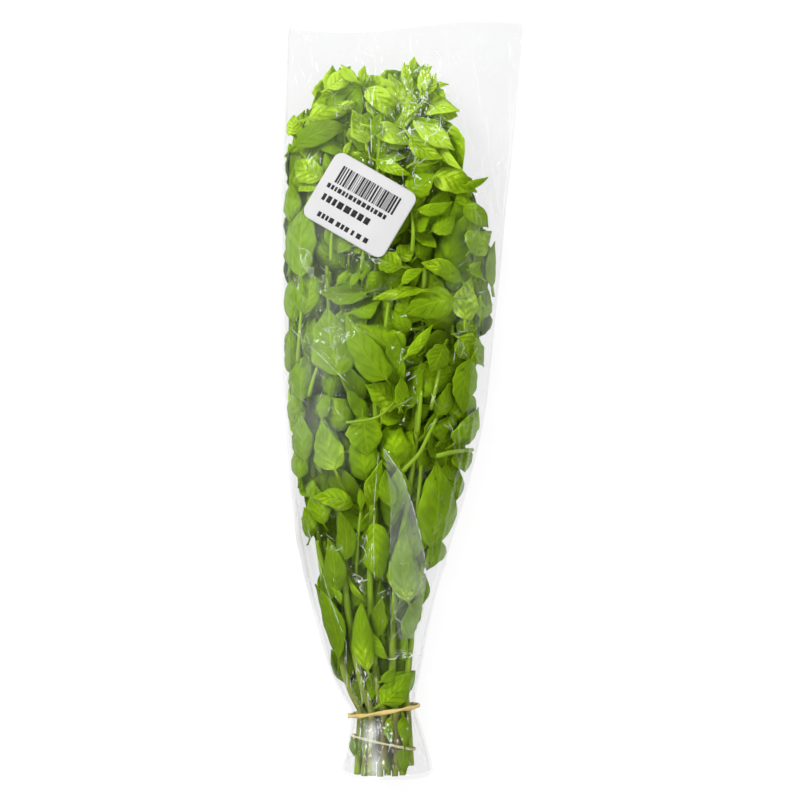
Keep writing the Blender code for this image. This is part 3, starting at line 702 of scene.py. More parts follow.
def leaf_shape(x, y, along, spread, half, length, leaf, liveliness, rng):
    """How far each point stands out from the leaf's middle plane, and the turn of its veins."""
    width, hang = leaf[4], leaf[6]
    place = (2 * half / width) * spread
    size = width / LEAF_WIDTH
    blade = np.clip(along, 0.0, 1.0)
    on_blade = smooth_step(along / 0.12)
    fold = rng.uniform(*FOLD) * liveliness
    roll, pitch, twist = (rng.normal(0.0, slope) * liveliness for slope in (ROLL, PITCH, TWIST))
    shape = -hang * 0.4 * place**2 - fold * np.abs(place) * width / 2
    shape += (roll + twist * (blade - 0.5)) * place * width / 2 + pitch * (blade - 0.5) * length
    shape -= rng.uniform(0.0, CURL) * liveliness * size * 4 * (blade - 0.45) ** 2
    shape -= rng.uniform(0.0, HOOK) * size * smooth_step((blade - 0.65) / 0.35) ** 2
    shape -= 1.5 * np.clip(0.15 - along, 0.0, 1.0) * 4
    shape -= MIDRIB_DIP * size * np.exp(-((spread / 0.09) ** 2)) * on_blade
    turn = rng.uniform(0.0, 1.0)
    phase = VEIN_PAIRS * (blade - VEIN_SLANT * np.abs(spread)) + 0.5 * (spread > 0) + turn
    quilt = np.abs(np.sin(math.pi * phase)) ** 0.7
    shape += QUILT * size * quilt * on_blade * (1 - np.abs(spread) ** 3) * np.abs(spread) ** 0.4
    for waves, height in [(rng.uniform(*turns), height) for turns, height in EDGE_WAVES]:
        ripple = wave(waves * blade + rng.uniform(0, 1) + 0.25 * np.sign(spread))
        shape += rng.uniform(0.3, 1.0) * height * size * ripple * np.abs(spread) ** 2.5 * on_blade
    seed = int(rng.integers(1000))
    lump = noise(x / 8.5, y / 8.5, seed) + 0.45 * noise(x / 3.8, y / 3.8, seed + 1)
    return shape + LUMPS * size * lump * on_blade, turn


def leaf_values(x, along, spread, tone, turn):
    """What the leaf material reads at each point, first for the outer side. The last two are for
    the OFBake map."""
    across = 0.5 + 0.5 * spread
    up = (along - STALK_START) / (1.0 - STALK_START)
    sides = {"edge": np.abs(spread), "u": across, "v": along, "gx": across, "gy": up}
    values = {key: np.tile((value + 0 * x).ravel(), 2) for key, value in sides.items()}
    return {"tone": tone, "turn": turn, "under": np.repeat([0.0, 1.0], x.size), **values}


def lay_leaf(pile, leaf, rng, fine=False, loose=0.0, liveliness=0.6):
    """Lays one leaf and returns (points, quads, values), or None if it has no room."""
    base_x, base_y, tip_x, tip_y, width, bow, _, tone = leaf
    rows, columns, refining = FINE_GRID if fine else PLAIN_GRID
    x, y, along, spread, half, length = leaf_grid(
        (base_x, base_y), (tip_x, tip_y), width, bow, pile.side, rows, columns, rng
    )
    centre, sleeve_half, _, _ = section(y)
    reach = SIDE_REACH * sleeve_half
    x = x + max(0.0, float(np.max(centre - reach - x))) - max(0.0, float(np.max(x - centre - reach)))
    x = np.clip(x, centre - reach, centre + reach)
    shape, turn = leaf_shape(x, y, along, spread, half, length, leaf, liveliness, rng)
    blade = np.clip(along, 0.0, 1.0)
    thickness = LEAF + MIDRIB * np.exp(-((spread / 0.10) ** 2)) * (1 - 0.7 * blade)
    thickness = np.maximum(thickness, 0.9 * (along < 0.02)) + 0 * x
    edge = float(np.max(np.abs((x - centre) / sleeve_half)))
    stiff = STIFFEST * (1.0 - float(smooth_step((edge - 0.6) / 0.3)))
    z = pile.settle(x, y, shape + 0 * x, thickness, stiff, refining, loose)
    if z is None:
        return None
    z = inside_sleeve(x, y, z, thickness, pile.side, rng.uniform(0.0, 0.6))
    tone = tone + rng.uniform(-0.03, 0.03) + float(np.interp(base_y, YOUNG_Y, YOUNG_RISE))
    values = leaf_values(x, along, spread, tone, turn)
    return (*solid_sheet(np.stack([x, y, z], axis=-1), thickness), values)


def leaf_piece(name, leaves, material, slot, *nodes):
    """One object of one or more leaves, each side of each in its own tile of the OFBake map."""
    points, quads, values = joined(leaves)
    per_row = int(math.ceil(math.sqrt(2 * len(leaves))))
    sides = [np.repeat((2 * n, 2 * n + 1), len(leaf[0]) // 2) for n, leaf in enumerate(leaves)]
    tile = np.concatenate(sides)
    filled = 1.0 - 2 * TILE_EDGE
    bake = [
        (corner + TILE_EDGE + filled * values.pop(key)) / per_row
        for key, corner in (("gx", tile % per_row), ("gy", tile // per_row))
    ]
    make_piece(name, points, quads, material, nodes, values, np.stack(bake, axis=-1))


# ---------------------------------------------------------------- materials
class Wire:
    """A node's output, which can be worked with like a number."""

    def __init__(self, graph, socket):
        self.graph = graph
        self.socket = socket

    def __add__(self, other):
        return self.graph.maths("ADD", self, other)

    def __sub__(self, other):
        return self.graph.maths("SUBTRACT", self, other)

    def __rsub__(self, other):
        return self.graph.maths("SUBTRACT", other, self)

    def __mul__(self, other):
        return self.graph.maths("MULTIPLY", self, other)

    def __abs__(self):
        return self.graph.maths("ABSOLUTE", self)


class Graph:
    """A material's nodes. An input is a number, a colour or a Wire."""

    def __init__(self, name):
        self.material = bpy.data.materials.new(name)
        self.material.use_nodes = True
        self.tree = self.material.node_tree
        self.tree.nodes.clear()

    def add(self, kind, inputs=None, output=0, **settings):
        """A new node, and its output as a Wire if it has any."""
        node = self.tree.nodes.new("ShaderNode" + kind)
        for key, value in settings.items():
            setattr(node, key, value)
        for key, value in (inputs or {}).items():
            target = node.inputs[key]
            if isinstance(value, Wire):
                self.tree.links.new(value.socket, target)
            else:
                target.default_value = (*value, 1.0) if target.type == "RGBA" else value
        return Wire(self, node.outputs[output]) if len(node.outputs) else None

    def maths(self, operation, first, second=0.0, clamp=False):
        return self.add("Math", {0: first, 1: second}, operation=operation, use_clamp=clamp)

    def value(self, name):
        return self.add("Attribute", output="Fac", attribute_name=name)

    def place(self):
        return self.add("TexCoord", output="Object")

    def scaled(self, vector, scale):
        return self.add("Mapping", {"Vector": vector, "Scale": scale}, "Vector")

    def noise(self, scale, detail=2.0, roughness=0.5, vector=None, output="Fac"):
        inputs = {"Scale": scale, "Detail": detail, "Roughness": roughness}
        return self.add("TexNoise", {"Vector": vector or self.place(), **inputs}, output)

    def cell_edge(self, vector, scale, width):
        """1 on the borders of cells, falling to 0 over a width."""
        inputs = {"Vector": vector, "Scale": scale}
        return self.fade(self.add("TexVoronoi", inputs, "Distance", feature="DISTANCE_TO_EDGE"), 0.0, width)

    def stretch(self, value, low, high, out_low=0.0, out_high=1.0):
        inputs = {"Value": value, "From Min": low, "From Max": high, "To Min": out_low, "To Max": out_high}
        return self.add("MapRange", inputs, "Result", clamp=True)

    def fade(self, value, low, high):
        return self.stretch(value, low, high, 1.0, 0.0)

    def vary(self, value, low, high):
        """A noise's usual range made to run from low to high."""
        return self.stretch(value, 0.3, 0.7, low, high)

    def mix(self, factor, first, second):
        return self.add("Mix", {0: factor, 6: first, 7: second}, 2, data_type="RGBA")

    def mix_shader(self, factor, first, second):
        return self.add("MixShader", {"Fac": factor, 1: first, 2: second})

    def ramp(self, value, stops):
        colour = self.add("ValToRGB", {"Fac": value}, "Color")
        elements = colour.socket.node.color_ramp.elements
        while len(elements) < len(stops):
            elements.new(0.5)
        for element, (place, tint) in zip(elements, stops):
            element.position = place
            element.color = (*tint, 1.0)
        return colour

    def bump(self, height, distance, strength):
        inputs = {"Height": height, "Distance": distance, "Strength": strength}
        return self.add("Bump", inputs, "Normal")

    def solid(self, colour, roughness, **more):
        inputs = {"Base Color": colour, "Roughness": roughness}
        inputs.update({key.replace("_", " "): value for key, value in more.items()})
        return self.add("BsdfPrincipled", inputs)

    def finish(self, shader):
        self.add("OutputMaterial", {"Surface": shader})
        return self.material


LEAF_TONES = (
    (0.00, (0.044, 0.088, 0.000)),
    (0.30, (0.086, 0.172, 0.000)),
    (0.55, (0.130, 0.260, 0.000)),
    (0.78, (0.200, 0.370, 0.001)),
    (0.92, (0.345, 0.545, 0.005)),
    (1.00, (0.530, 0.750, 0.065)),
)


def leaf_material(name, shift):
    g = Graph(name)
    u = g.value("u") * 2.0 - 1.0
    side = abs(u)
    v = g.value("v")
    right = g.maths("GREATER_THAN", u, 0.0)
    # Side veins slant forward from the midrib, and those of the two halves alternate.
    phase = (v - side * VEIN_SLANT) * VEIN_PAIRS + right * 0.5 + g.value("turn")
    phase = phase + g.vary(g.noise(160.0, 1.0), -0.10, 0.10)
    away = 0.5 - abs(g.maths("FRACT", phase) - 0.5)
    lateral = g.fade(away, 0.0, 0.10) * g.fade(side, 0.45, 0.95)
    # Painted shade: darker bands beside the side veins, towards the margin.
    vein_shade = g.fade(away, 0.05, 0.30) * g.fade(side, 0.55, 1.0)
    veins = g.maths("MAXIMUM", lateral, g.fade(side, 0.025, 0.085))
    net = g.cell_edge(g.place(), 620.0, 0.12)
    blotch = g.noise(190.0, 3.0, 0.6)
    close = g.noise(520.0, 4.0, 0.6)
    tone = g.value("tone") + shift + g.vary(g.noise(60.0, 3.0), -0.16, 0.16)
    tone = tone + g.vary(blotch, -0.11, 0.11) + g.stretch(v, 0.0, 1.0, 0.05, -0.06)
    # Paler along the margin, a painted highlight; darker beside the veins, painted shade.
    tone = tone - vein_shade * 0.15 + g.stretch(g.value("edge"), 0.90, 1.0) * 0.10
    colour = g.ramp(g.maths("ADD", tone, g.vary(close, -0.07, 0.07), clamp=True), LEAF_TONES)
    pale = g.mix(0.55, colour, (0.42, 0.58, 0.010))
    colour = g.mix(veins * 0.62, colour, pale)
    colour = g.mix(net * 0.08, colour, pale)
    dull = g.mix(0.5, colour, (0.26, 0.40, 0.020))
    colour = g.mix(g.value("under") * 0.55, colour, dull)
    specks = g.stretch(g.noise(230.0, 1.0), 0.72, 0.77)
    colour = g.mix(specks * 0.6, colour, (0.06, 0.05, 0.01))
    height = close * 0.35 - veins * 1.0 - net * 0.30 + blotch * 1.2
    gloss = {"Specular_IOR_Level": 0.10, "Specular_Tint": (0.80, 1.0, 0.20)}
    rough = g.vary(close, 0.40, 0.56)
    surface = g.solid(colour, rough, Normal=g.bump(height, 0.00034, 0.9), **gloss)
    glow = g.add("BsdfTranslucent", {"Color": g.mix(0.35, colour, (0.36, 0.55, 0.002))})
    return g.finish(g.mix_shader(0.34, surface, glow))


def stem_material():
    g = Graph("basil_stem_green")
    coords = g.place()
    y = g.add("SeparateXYZ", {"Vector": coords}, "Y")
    fibre = g.noise(1.0, 3.0, 0.6, g.scaled(coords, (900.0, 45.0, 900.0)))
    patch = g.noise(38.0, 3.0, 0.6)
    green = g.mix(fibre, (0.110, 0.200, 0.006), (0.250, 0.380, 0.030))
    brown = g.mix(fibre, (0.075, 0.060, 0.018), (0.210, 0.180, 0.060))
    lower = g.stretch(y, -0.120, -0.180, 0.0, 0.95)
    amount = g.maths("MULTIPLY", lower, g.stretch(patch, 0.36, 0.54), clamp=True)
    pith = g.mix(g.noise(900.0), (0.46, 0.52, 0.22), (0.62, 0.66, 0.38))
    colour = g.mix(g.value("cut"), g.mix(amount, green, brown), pith)
    gloss = {"Specular_IOR_Level": 0.2, "Specular_Tint": (0.85, 1.0, 0.35)}
    rough = g.vary(patch, 0.36, 0.55)
    return g.finish(g.solid(colour, rough, Normal=g.bump(fibre, 0.00025, 0.7), **gloss))


def film_material():
    g = Graph("clear_film")
    coords = g.place()
    drawn = g.scaled(coords, (1.0, 0.45, 1.0))
    warped = g.mix(0.030, drawn, g.noise(55.0, vector=coords, output="Color"))
    wide_ridge = g.cell_edge(warped, 62.0, 0.10) * g.stretch(g.noise(28.0), 0.45, 0.62)
    where_fine = g.stretch(g.noise(36.0, vector=drawn), 0.52, 0.66)
    fine_ridge = g.cell_edge(warped, 190.0, 0.14) * where_fine
    # Crease lines: a bump in the film, and a painted highlight along them.
    line = g.fade(abs(g.value("crease")), 0.04, 0.27) * g.stretch(g.noise(260.0), 0.38, 0.60)
    height = wide_ridge * 0.9 + fine_ridge * 0.55 + line * (g.value("crease_relief_and_highlight") * 4.0)
    normal = g.bump(height + g.noise(140.0, vector=drawn) * 0.8, 0.0006, 0.8)
    patchy = g.stretch(g.noise(48.0, 3.0, 0.6), 0.30, 0.70, 0.55, 1.35)
    # Painted glints: small white specks, strongest where the sparkle table puts them.
    speck = g.stretch(g.noise(760.0, 3.0, 0.6, drawn), 0.60, 0.66)
    speck = speck * g.stretch(g.noise(150.0), 0.42, 0.60)
    # Painted reflection and highlights: a white diffuse layer is mixed into the see-through film where the
    # sheen patches, crease lines, ridges and specks put it.
    painted_sheen = g.maths("MULTIPLY", g.value("painted_sheen"), patchy, clamp=True)
    # Painted highlight along the wide ridges.
    ridge_highlight = g.stretch(wide_ridge, 0.6, 1.0) * 0.030
    for more in (line * (g.value("crease_relief_and_highlight") * 1.6), ridge_highlight, speck * g.value("sparkle")):
        painted_sheen = g.maths("ADD", painted_sheen, more, clamp=True)
    # Painted shade: the see-through tint is darkened towards grey in the listed spots.
    tint = g.mix(g.value("painted_film_shade"), (0.958, 0.960, 0.960), (0.60, 0.60, 0.60))
    # The white diffuse layer that carries the painted reflection and highlights.
    sheen_white = g.add("BsdfDiffuse", {"Color": (0.93, 0.95, 0.94), "Normal": normal})
    body = g.mix_shader(painted_sheen, g.add("BsdfTransparent", {"Color": tint}), sheen_white)
    gloss = g.add("BsdfGlossy", {"Color": (1.0, 1.0, 1.0), "Roughness": 0.055, "Normal": normal})
    shine = g.maths("MINIMUM", g.add("Fresnel", {"IOR": 1.45}), 0.20)
    seen = g.mix_shader(shine, body, gloss)
    # Light from the lamps comes through the film with little loss.
    through = g.add("BsdfTransparent", {"Color": (0.93, 0.93, 0.93)})
    return g.finish(g.mix_shader(g.add("LightPath", output="Is Shadow Ray"), seen, through))


def label_material():
    g = Graph("label_stock")
    fibre = g.noise(1500.0, 3.0, 0.6)
    broad = g.stretch(g.noise(40.0), 0.3, 0.7)
    colour = g.mix(broad, (0.335, 0.335, 0.335), (0.375, 0.375, 0.375))
    colour = g.mix(fibre * 0.08, colour, (0.70, 0.70, 0.69))
    return g.finish(g.solid(colour, g.vary(fibre, 0.48, 0.62), Normal=g.bump(fibre, 0.00004, 0.5)))


def ink_material():
    g = Graph("label_ink")
    speck = g.noise(2600.0)
    colour = g.mix(g.stretch(speck, 0.55, 0.75), (0.012, 0.012, 0.014), (0.09, 0.09, 0.09))
    return g.finish(g.solid(colour, g.vary(speck, 0.5, 0.65)))


def rubber_material(name, light, dark):
    g = Graph(name)
    speck = g.noise(900.0, 3.0, 0.6)
    colour = g.mix(g.stretch(g.noise(130.0), 0.3, 0.7), dark, light)
    colour = g.mix(g.stretch(speck, 0.55, 0.8) * 0.35, colour, (0.30, 0.21, 0.08))
    return g.finish(g.solid(colour, g.vary(speck, 0.45, 0.66), Normal=g.bump(speck, 0.00012, 0.6)))


def floor_material():
    g = Graph("pale_floor")
    colour = g.mix(g.noise(9.0), (0.12, 0.12, 0.12), (0.14, 0.14, 0.14))
    return g.finish(g.solid(colour, 0.8, Emission_Color=(1.0, 1.0, 1.0), Emission_Strength=0.84))


# ---------------------------------------------------------------- foliage
FOLIAGE_SEED = 20260
COVER_SEED = 411
# The palest leaves of the short tables are toned down below the tips.
PALEST_Y = 112
PALEST = 0.62
# A leaf laid by chance: how many places are tried, its length as a share of its width, how often it is
# one of the short ones, and the spread of its direction in radians.
PLACES_TRIED = 14
SHORT, LONG = (1.35, 1.8), (1.8, 2.4)
SHORT_OFTEN = 0.7
TURNED = 0.85
# Reach in cells over which the pile's layers are counted.
AROUND = 4
# Lengths in mm of the pieces that the filling leaves are grouped in.
FRONT_ZONE = 70
BACK_ZONE = 130


def widened(leaf, rng, wider=1.0):
    """A row of the short tables with a bow and a hang added."""
    *ends, width, tone = leaf
    if ends[1] < PALEST_Y and tone > PALEST:
        tone = PALEST + 0.6 * (tone - PALEST)
    return (*ends, width * wider, rng.uniform(-0.10, 0.10), rng.uniform(0.4, 1.4), tone)


def lay_stalk(pile, radius, points):
    """A thin stem under what is already laid."""
    points = np.array(points, float)
    run = np.concatenate([[0], np.cumsum(np.hypot(*np.diff(points, axis=0).T))])
    steps = max(6, int(run[-1] / 2.0))
    x, y = (np.interp(np.linspace(0, run[-1], steps), run, column) for column in points.T)
    for _ in range(3):
        for line in (x, y):
            line[1:-1] = (line[:-2] + 2 * line[1:-1] + line[2:]) / 4
    direction = np.stack([np.gradient(x), np.gradient(y)])
    direction /= np.hypot(*direction)
    offset = np.array([-radius, 0.0, radius])
    grid_x = x[:, None] - offset * direction[1][:, None]
    grid_y = y[:, None] + offset * direction[0][:, None]
    along = np.linspace(0, 1, steps)[:, None]
    shape = -1.2 * (2 * np.abs(along - 0.5)) ** 3 + 0 * grid_x
    z = pile.settle(grid_x, grid_y, shape, np.full_like(grid_x, 2 * radius), 0.8, 1)
    centre_z = z[:, 1] - pile.side * radius
    low = film_bottom(x, y) + BACK_GAP + radius
    high = film_top(x, y) - FRONT_GAP - radius
    centre_z = between(low, high, centre_z)
    radii = radius * (1 - 0.25 * along[:, 0])
    tube_points, quads, cut = tube(np.stack([x, y, centre_z], axis=-1), radii, STALK_SIDES, RIBS, 0.07)
    return tube_points, quads, {"cut": cut}


def random_leaf(rng, pile, widths, tones, y_range):
    """A leaf where the pile is thinnest among a few places tried."""
    best = None
    for _ in range(PLACES_TRIED):
        y = rng.uniform(*y_range)
        left, right = outline(y)
        x = rng.uniform(left + 2, right - 2)
        narrow = float(smooth_step((-60.0 - y) / 90.0))
        width = rng.uniform(*widths) * (1 - 0.35 * narrow)
        length = width * (rng.uniform(*SHORT) if rng.random() < SHORT_OFTEN else rng.uniform(*LONG))
        place = (2 * x - left - right) / (right - left)
        angle = rng.normal(0.0, TURNED) * (1 - 0.5 * narrow) - 0.5 * place
        direction = np.array([-math.sin(angle), math.cos(angle)])
        sideways = np.array([direction[1], -direction[0]]) * width / 2
        middle = np.array([x, y])
        past = 0.0
        for corner in (direction * length / 2, -direction * length * 0.74, sideways, -sideways):
            point = middle + corner
            edge_left, edge_right = outline(point[1])
            past += max(0.0, edge_left - point[0], point[0] - edge_right, point[1] - OUTLINE[-1, 0])
        i, j = (int(place) for place in cell(x, y))
        nearby = pile.layers[i - AROUND : i + AROUND + 1, j - AROUND : j + AROUND + 1]
        score = nearby.mean() + rng.uniform(0, 0.25) + 0.9 * past
        if best is None or score < best[0]:
            best = (score, middle - direction * length / 2, middle + direction * length / 2, width, y)
    _, base, tip, width, y = best
    tone = rng.uniform(*tones) + float(np.interp(y, TONE_Y, TONE_RISE))
    return (*base, *tip, width, rng.normal(0.0, 0.09), rng.uniform(0.4, 1.6), min(tone, 1.0))


def stems_raise_limit(pile, paths):
    """Keeps the leaves that fill this side outside the stems."""
    for path, radii in paths:
        for (x, y, z), radius in zip(path, radii):
            i, j = (int(round(place)) for place in cell(x, y))
            reach = int(math.ceil(radius)) + 1
            block = pile.limit[i - reach : i + reach + 1, j - reach : j + reach + 1]
            np.maximum(block, (z + radius + 0.2) if pile.side > 0 else (-(z - radius) + 0.2), out=block)


def build_stems(material):
    paths = []
    stems = ((row, *stem) for row in STEM_ROWS for stem in row[2])
    for number, (row, neck_x, fan_place, end_y) in enumerate(stems, 1):
        cut_y = STEM_CUT_Y + STEM_CUT_STEP * (number * 7 % 5)
        y = np.linspace(cut_y, end_y, STEM_POINTS)
        x, z = stem_path(row, neck_x, fan_place, y)
        along = np.linspace(0, 1, len(y))
        radii = STEM_RADIUS + (STEM_TIP_RADIUS - STEM_RADIUS) * along**1.5
        joint = np.zeros_like(y)
        for joint_y in np.arange(cut_y + 22 + number * 3 % 17, end_y, JOINT_STEP):
            joint += np.exp(-(((y - joint_y) / JOINT_REACH) ** 2))
        radii = radii * (0.93 + JOINT_GAIN * np.clip(joint, 0, 1))
        path = np.stack([x, y, z], axis=-1)
        paths.append((path, radii))
        points, quads, cut = tube(path, radii, STEM_SIDES, RIBS, 0.08)
        name = f"stem_{number:02d}"
        make_piece("basil_" + name, points, quads, material, [name], {"cut": cut})
    return paths


def core_leaf(x, y, wide, rng):
    """One of the large leaves in the middle of the bunch, its dark tone painted shade."""
    spot = np.array([x + rng.uniform(-3, 3), y + rng.uniform(-4, 4)])
    angle = rng.normal(0.0, 0.6)
    reach = np.array([-math.sin(angle), math.cos(angle)]) * rng.uniform(13, 17) * (0.5 + 0.5 * wide)
    width = rng.uniform(17, 22) * (0.35 + 0.65 * wide)
    grid_x, grid_y, along, spread, half, _ = leaf_grid(
        spot - reach, spot + reach, width, rng.normal(0, 0.06), 1, *CORE_GRID, rng
    )
    centre, sleeve_half, _, _ = section(grid_y)
    grid_x = np.clip(grid_x, centre - CORE_REACH * sleeve_half, centre + CORE_REACH * sleeve_half)
    edge_left, edge_right = outline(grid_y)
    grid_x = np.clip(grid_x, edge_left + CORE_INSET, edge_right - CORE_INSET)
    top = film_top(grid_x, grid_y)
    bottom = film_bottom(grid_x, grid_y)
    share = rng.uniform(0.44, 0.56)
    roll = rng.normal(0.0, 0.12)
    z = bottom + (top - bottom) * (share + 0.05 * noise(grid_x / 9, grid_y / 9, 71)) + roll * spread * half
    thickness = np.full(grid_x.shape, LEAF)
    z = inside_sleeve(grid_x, grid_y, z, thickness, 1, rng.uniform(0.2, 0.9))
    # Painted shade: a dark tone, lighter towards the tips.
    tone = rng.uniform(*CORE_SHADE_TONES) + float(np.interp(y, CORE_TONE_Y, CORE_TONE_RISE))
    values = leaf_values(grid_x, along, spread, tone, rng.uniform(0, 1))
    return (*solid_sheet(np.stack([grid_x, grid_y, z], axis=-1), thickness), values)


def core_leaves(rng):
    leaves = []
    for y in np.arange(-178.0, 168.0, CORE_STEP[1]):
        left, right = outline(y)
        wide = min(1.0, (right - left) / 60.0)
        for x in np.arange(left + 5.0, right - 3.0, CORE_STEP[0]):
            leaves.append(core_leaf(x, y, wide, rng))
    return leaves


def build_foliage(bright, deep, stem_green, stem_paths):
    """Lays the foliage from the film inwards, so what is laid first lies on top."""
    rng = np.random.default_rng(FOLIAGE_SEED)
    quiet = np.random.default_rng(COVER_SEED)
    front = Pile(1)
    back = Pile(-1)
    finish = {"front": (bright, "leaf_bright"), "back": (deep, "leaf_deep")}
    zones = {}

    def keep(laid, y, side, step):
        if laid is not None:
            zones.setdefault((side, int((y + 204) // step)), []).append(laid)

    def lay_table(table, draws, wider=1.0, liveliness=0.6):
        for row in table:
            laid = lay_leaf(front, widened(row, draws, wider), draws, liveliness=liveliness)
            keep(laid, row[1], "front", FRONT_ZONE)

    def lay_cad_leaves(table, pile, start, liveliness):
        for number, leaf in enumerate(table, start):
            laid = lay_leaf(pile, leaf, rng, fine=True, liveliness=liveliness)
            name = f"leaf_{number:02d}"
            leaf_piece("basil_" + name, [laid], *finish[("front", "back")[number % 2]], name)

    def fill(table, pile, side, step):
        for count, widths, tones, y_range, life, loose in table:
            if loose > LOOSEST:
                pile.limit = np.minimum(pile.limit, pile.floor)
            for _ in range(count):
                leaf = random_leaf(rng, pile, widths, tones, y_range)
                keep(lay_leaf(pile, leaf, rng, loose=loose, liveliness=life), leaf[1], side, step)

    stems_raise_limit(front, stem_paths)
    stems_raise_limit(back, stem_paths)
    lay_table(UPPER_LEAVES, rng)
    lay_table(COVER_LEAVES, quiet, liveliness=0.4)
    stalks = [lay_stalk(front, *stalk) for stalk in THIN_STEMS[:TOP_STALKS]]
    lay_cad_leaves(FRONT_LEAVES, front, 1, 0.35)
    stalks += [lay_stalk(front, *stalk) for stalk in THIN_STEMS[TOP_STALKS:]]
    lay_table(UNDER_LEAVES, rng, 1.2)
    fill(FRONT_FILL, front, "front", FRONT_ZONE)
    lay_cad_leaves(BACK_LEAVES, back, len(FRONT_LEAVES) + 1, 0.6)
    fill(BACK_FILL, back, "back", BACK_ZONE)
    for (side, zone), leaves in sorted(zones.items()):
        leaf_piece(f"foliage_{side}_{zone + 1}", leaves, *finish[side])
    core = core_leaves(rng)
    leaf_piece("foliage_core_1", core[::2], *finish["back"])
    leaf_piece("foliage_core_2", core[1::2], *finish["back"])
    points, quads, values = joined(stalks)
    make_piece("thin_stems", points, quads, stem_green, (), values)


# ---------------------------------------------------------------- film
# The film's grid: rows along the sleeve, columns round it, and the angles at which each section is sampled.
FILM_ROWS = 372
FILM_COLUMNS = 256
FILM_ANGLES = 1441
CRINKLE_SEED = 411
# The most painted sheen the film takes anywhere.
MOST_SHEEN = 0.32
# Rows of height, width, how bright the painted highlight along it is, points.
CREASES = (
    (0.7, 1.6, 0.3, ((-13, -30), (-15, -55), (-15.5, -75), (-15, -95))),
    (0.8, 1.8, 0.26, ((-50, -70), (-38, -108), (-30, -130), (-30, -155))),
    (0.7, 1.8, 0.55, ((-14, 180), (-15.5, 166), (-17, 150), (-16.5, 133))),
    (0.6, 1.6, 0.4, ((-58, 37), (-44, 24), (-30, 10))),
    (0.6, 1.2, 0.95, ((-7, -139), (0, -138.6), (5, -137.2), (10.4, -137.6))),
    (0.4, 1.2, 0.3, ((-10, -26), (0, -40), (5, -55), (9, -70), (12, -85), (14, -90))),
    (0.3, 1.2, 0.1, ((-6, -60), (-7, -90), (-6, -125))), (1.0, 1.6, 0.1, ((36, 196), (44, 150), (52, 100))),
    (0.9, 1.8, 0.1, ((58, 190), (57, 140), (54, 96))), (0.9, 1.6, 0.12, ((22, 200), (28, 168), (38, 130))),
    (0.8, 1.6, 0.12, ((-50, 200), (-46, 184), (-52, 166))),
    (0.8, 1.8, 0.12, ((-20, 202), (-24, 190), (-14, 184))),
    (0.7, 1.6, 0.12, ((30, -34), (24, -60), (16, -100))),
    (0.7, 1.6, 0.12, ((38, -10), (34, -34), (28, -60))),
    (0.6, 1.4, 0.12, ((-56, -60), (-50, -84), (-45, -110))),
)
# Short creases, each a bump with a painted highlight line along it: rows of x, y, reach along x and y, how
# many, lengths, direction and its spread in degrees, how bright.
CRINKLES = (
    (10, 166, 11, 13, 40, (2, 8), 60, 60, 0.55), (12, 146, 13, 9, 18, (3, 9), 20, 50, 0.45),
    (0, 131, 10, 8, 9, (3, 8), 30, 50, 0.35), (-16, 152, 5, 20, 9, (5, 16), 90, 18, 0.25),
    (-48, 126, 7, 7, 7, (2, 6), 30, 60, 0.35), (-32, 158, 12, 12, 9, (4, 12), 70, 50, 0.2),
    (-16, 76, 10, 6, 10, (3, 9), -30, 40, 0.3), (-34, 34, 10, 10, 9, (3, 9), 100, 50, 0.3),
    (-19, -76, 4, 8, 7, (3, 8), 90, 30, 0.35), (-35, -77, 4, 5, 4, (2, 5), 0, 60, 0.35),
    (-23, -99, 4, 4, 5, (2, 6), 130, 30, 0.6), (-8, -114, 8, 8, 7, (2, 7), 80, 40, 0.35),
    (2, -138, 8, 4, 5, (3, 9), 5, 12, 0.35), (-22, -152, 7, 12, 14, (4, 12), 95, 18, 0.4),
    (-12, -180, 11, 12, 30, (3, 12), 92, 22, 0.45), (12, -4, 16, 18, 9, (3, 9), 60, 60, 0.3),
    (30, 34, 12, 18, 9, (3, 9), 110, 40, 0.25), (-44, -10, 10, 26, 8, (4, 12), 95, 30, 0.22),
    (-50, 56, 8, 34, 9, (5, 16), 95, 25, 0.2), (38, 70, 9, 26, 7, (4, 12), 80, 30, 0.2),
    (50, 150, 8, 40, 8, (6, 18), 95, 14, 0.14), (0, 193, 44, 6, 10, (4, 12), 90, 25, 0.16),
    (-52, 184, 8, 12, 6, (3, 8), 90, 30, 0.3),
)
# Painted reflection: whitish patches where the film would mirror the lamps. Rows of x, y, reach along x and
# y, how strong.
SHEEN_SPOTS = (
    (-44, 84, 20, 36, 0.055), (-42, 30, 18, 24, 0.045), (-46, 140, 18, 22, 0.014),
    (-30, 160, 24, 20, 0.018), (2, 148, 22, 16, 0.014), (6, 172, 18, 16, 0.016), (-50, -6, 14, 28, 0.05),
    (-40, -24, 14, 16, 0.03), (2, -86, 10, 34, 0.025), (42, 84, 12, 16, 0.035), (36, 54, 12, 14, 0.035),
    (-28, -92, 16, 22, 0.008), (-12, -136, 22, 26, 0.006), (-14, -190, 12, 14, 0.05),
    (-17, -179, 3.5, 6, 0.3), (-15, -196, 3.0, 9, 0.3),
)
# Painted shade: the same, with how far the film's see-through tint is darkened towards grey.
PAINTED_FILM_SHADE = (
    (-53, -84, 7, 40, 0.54), (54, 74, 10, 70, 0.1), (-40, -140, 7, 24, 0.2), (-12, -196, 26, 8, 0.05),
)
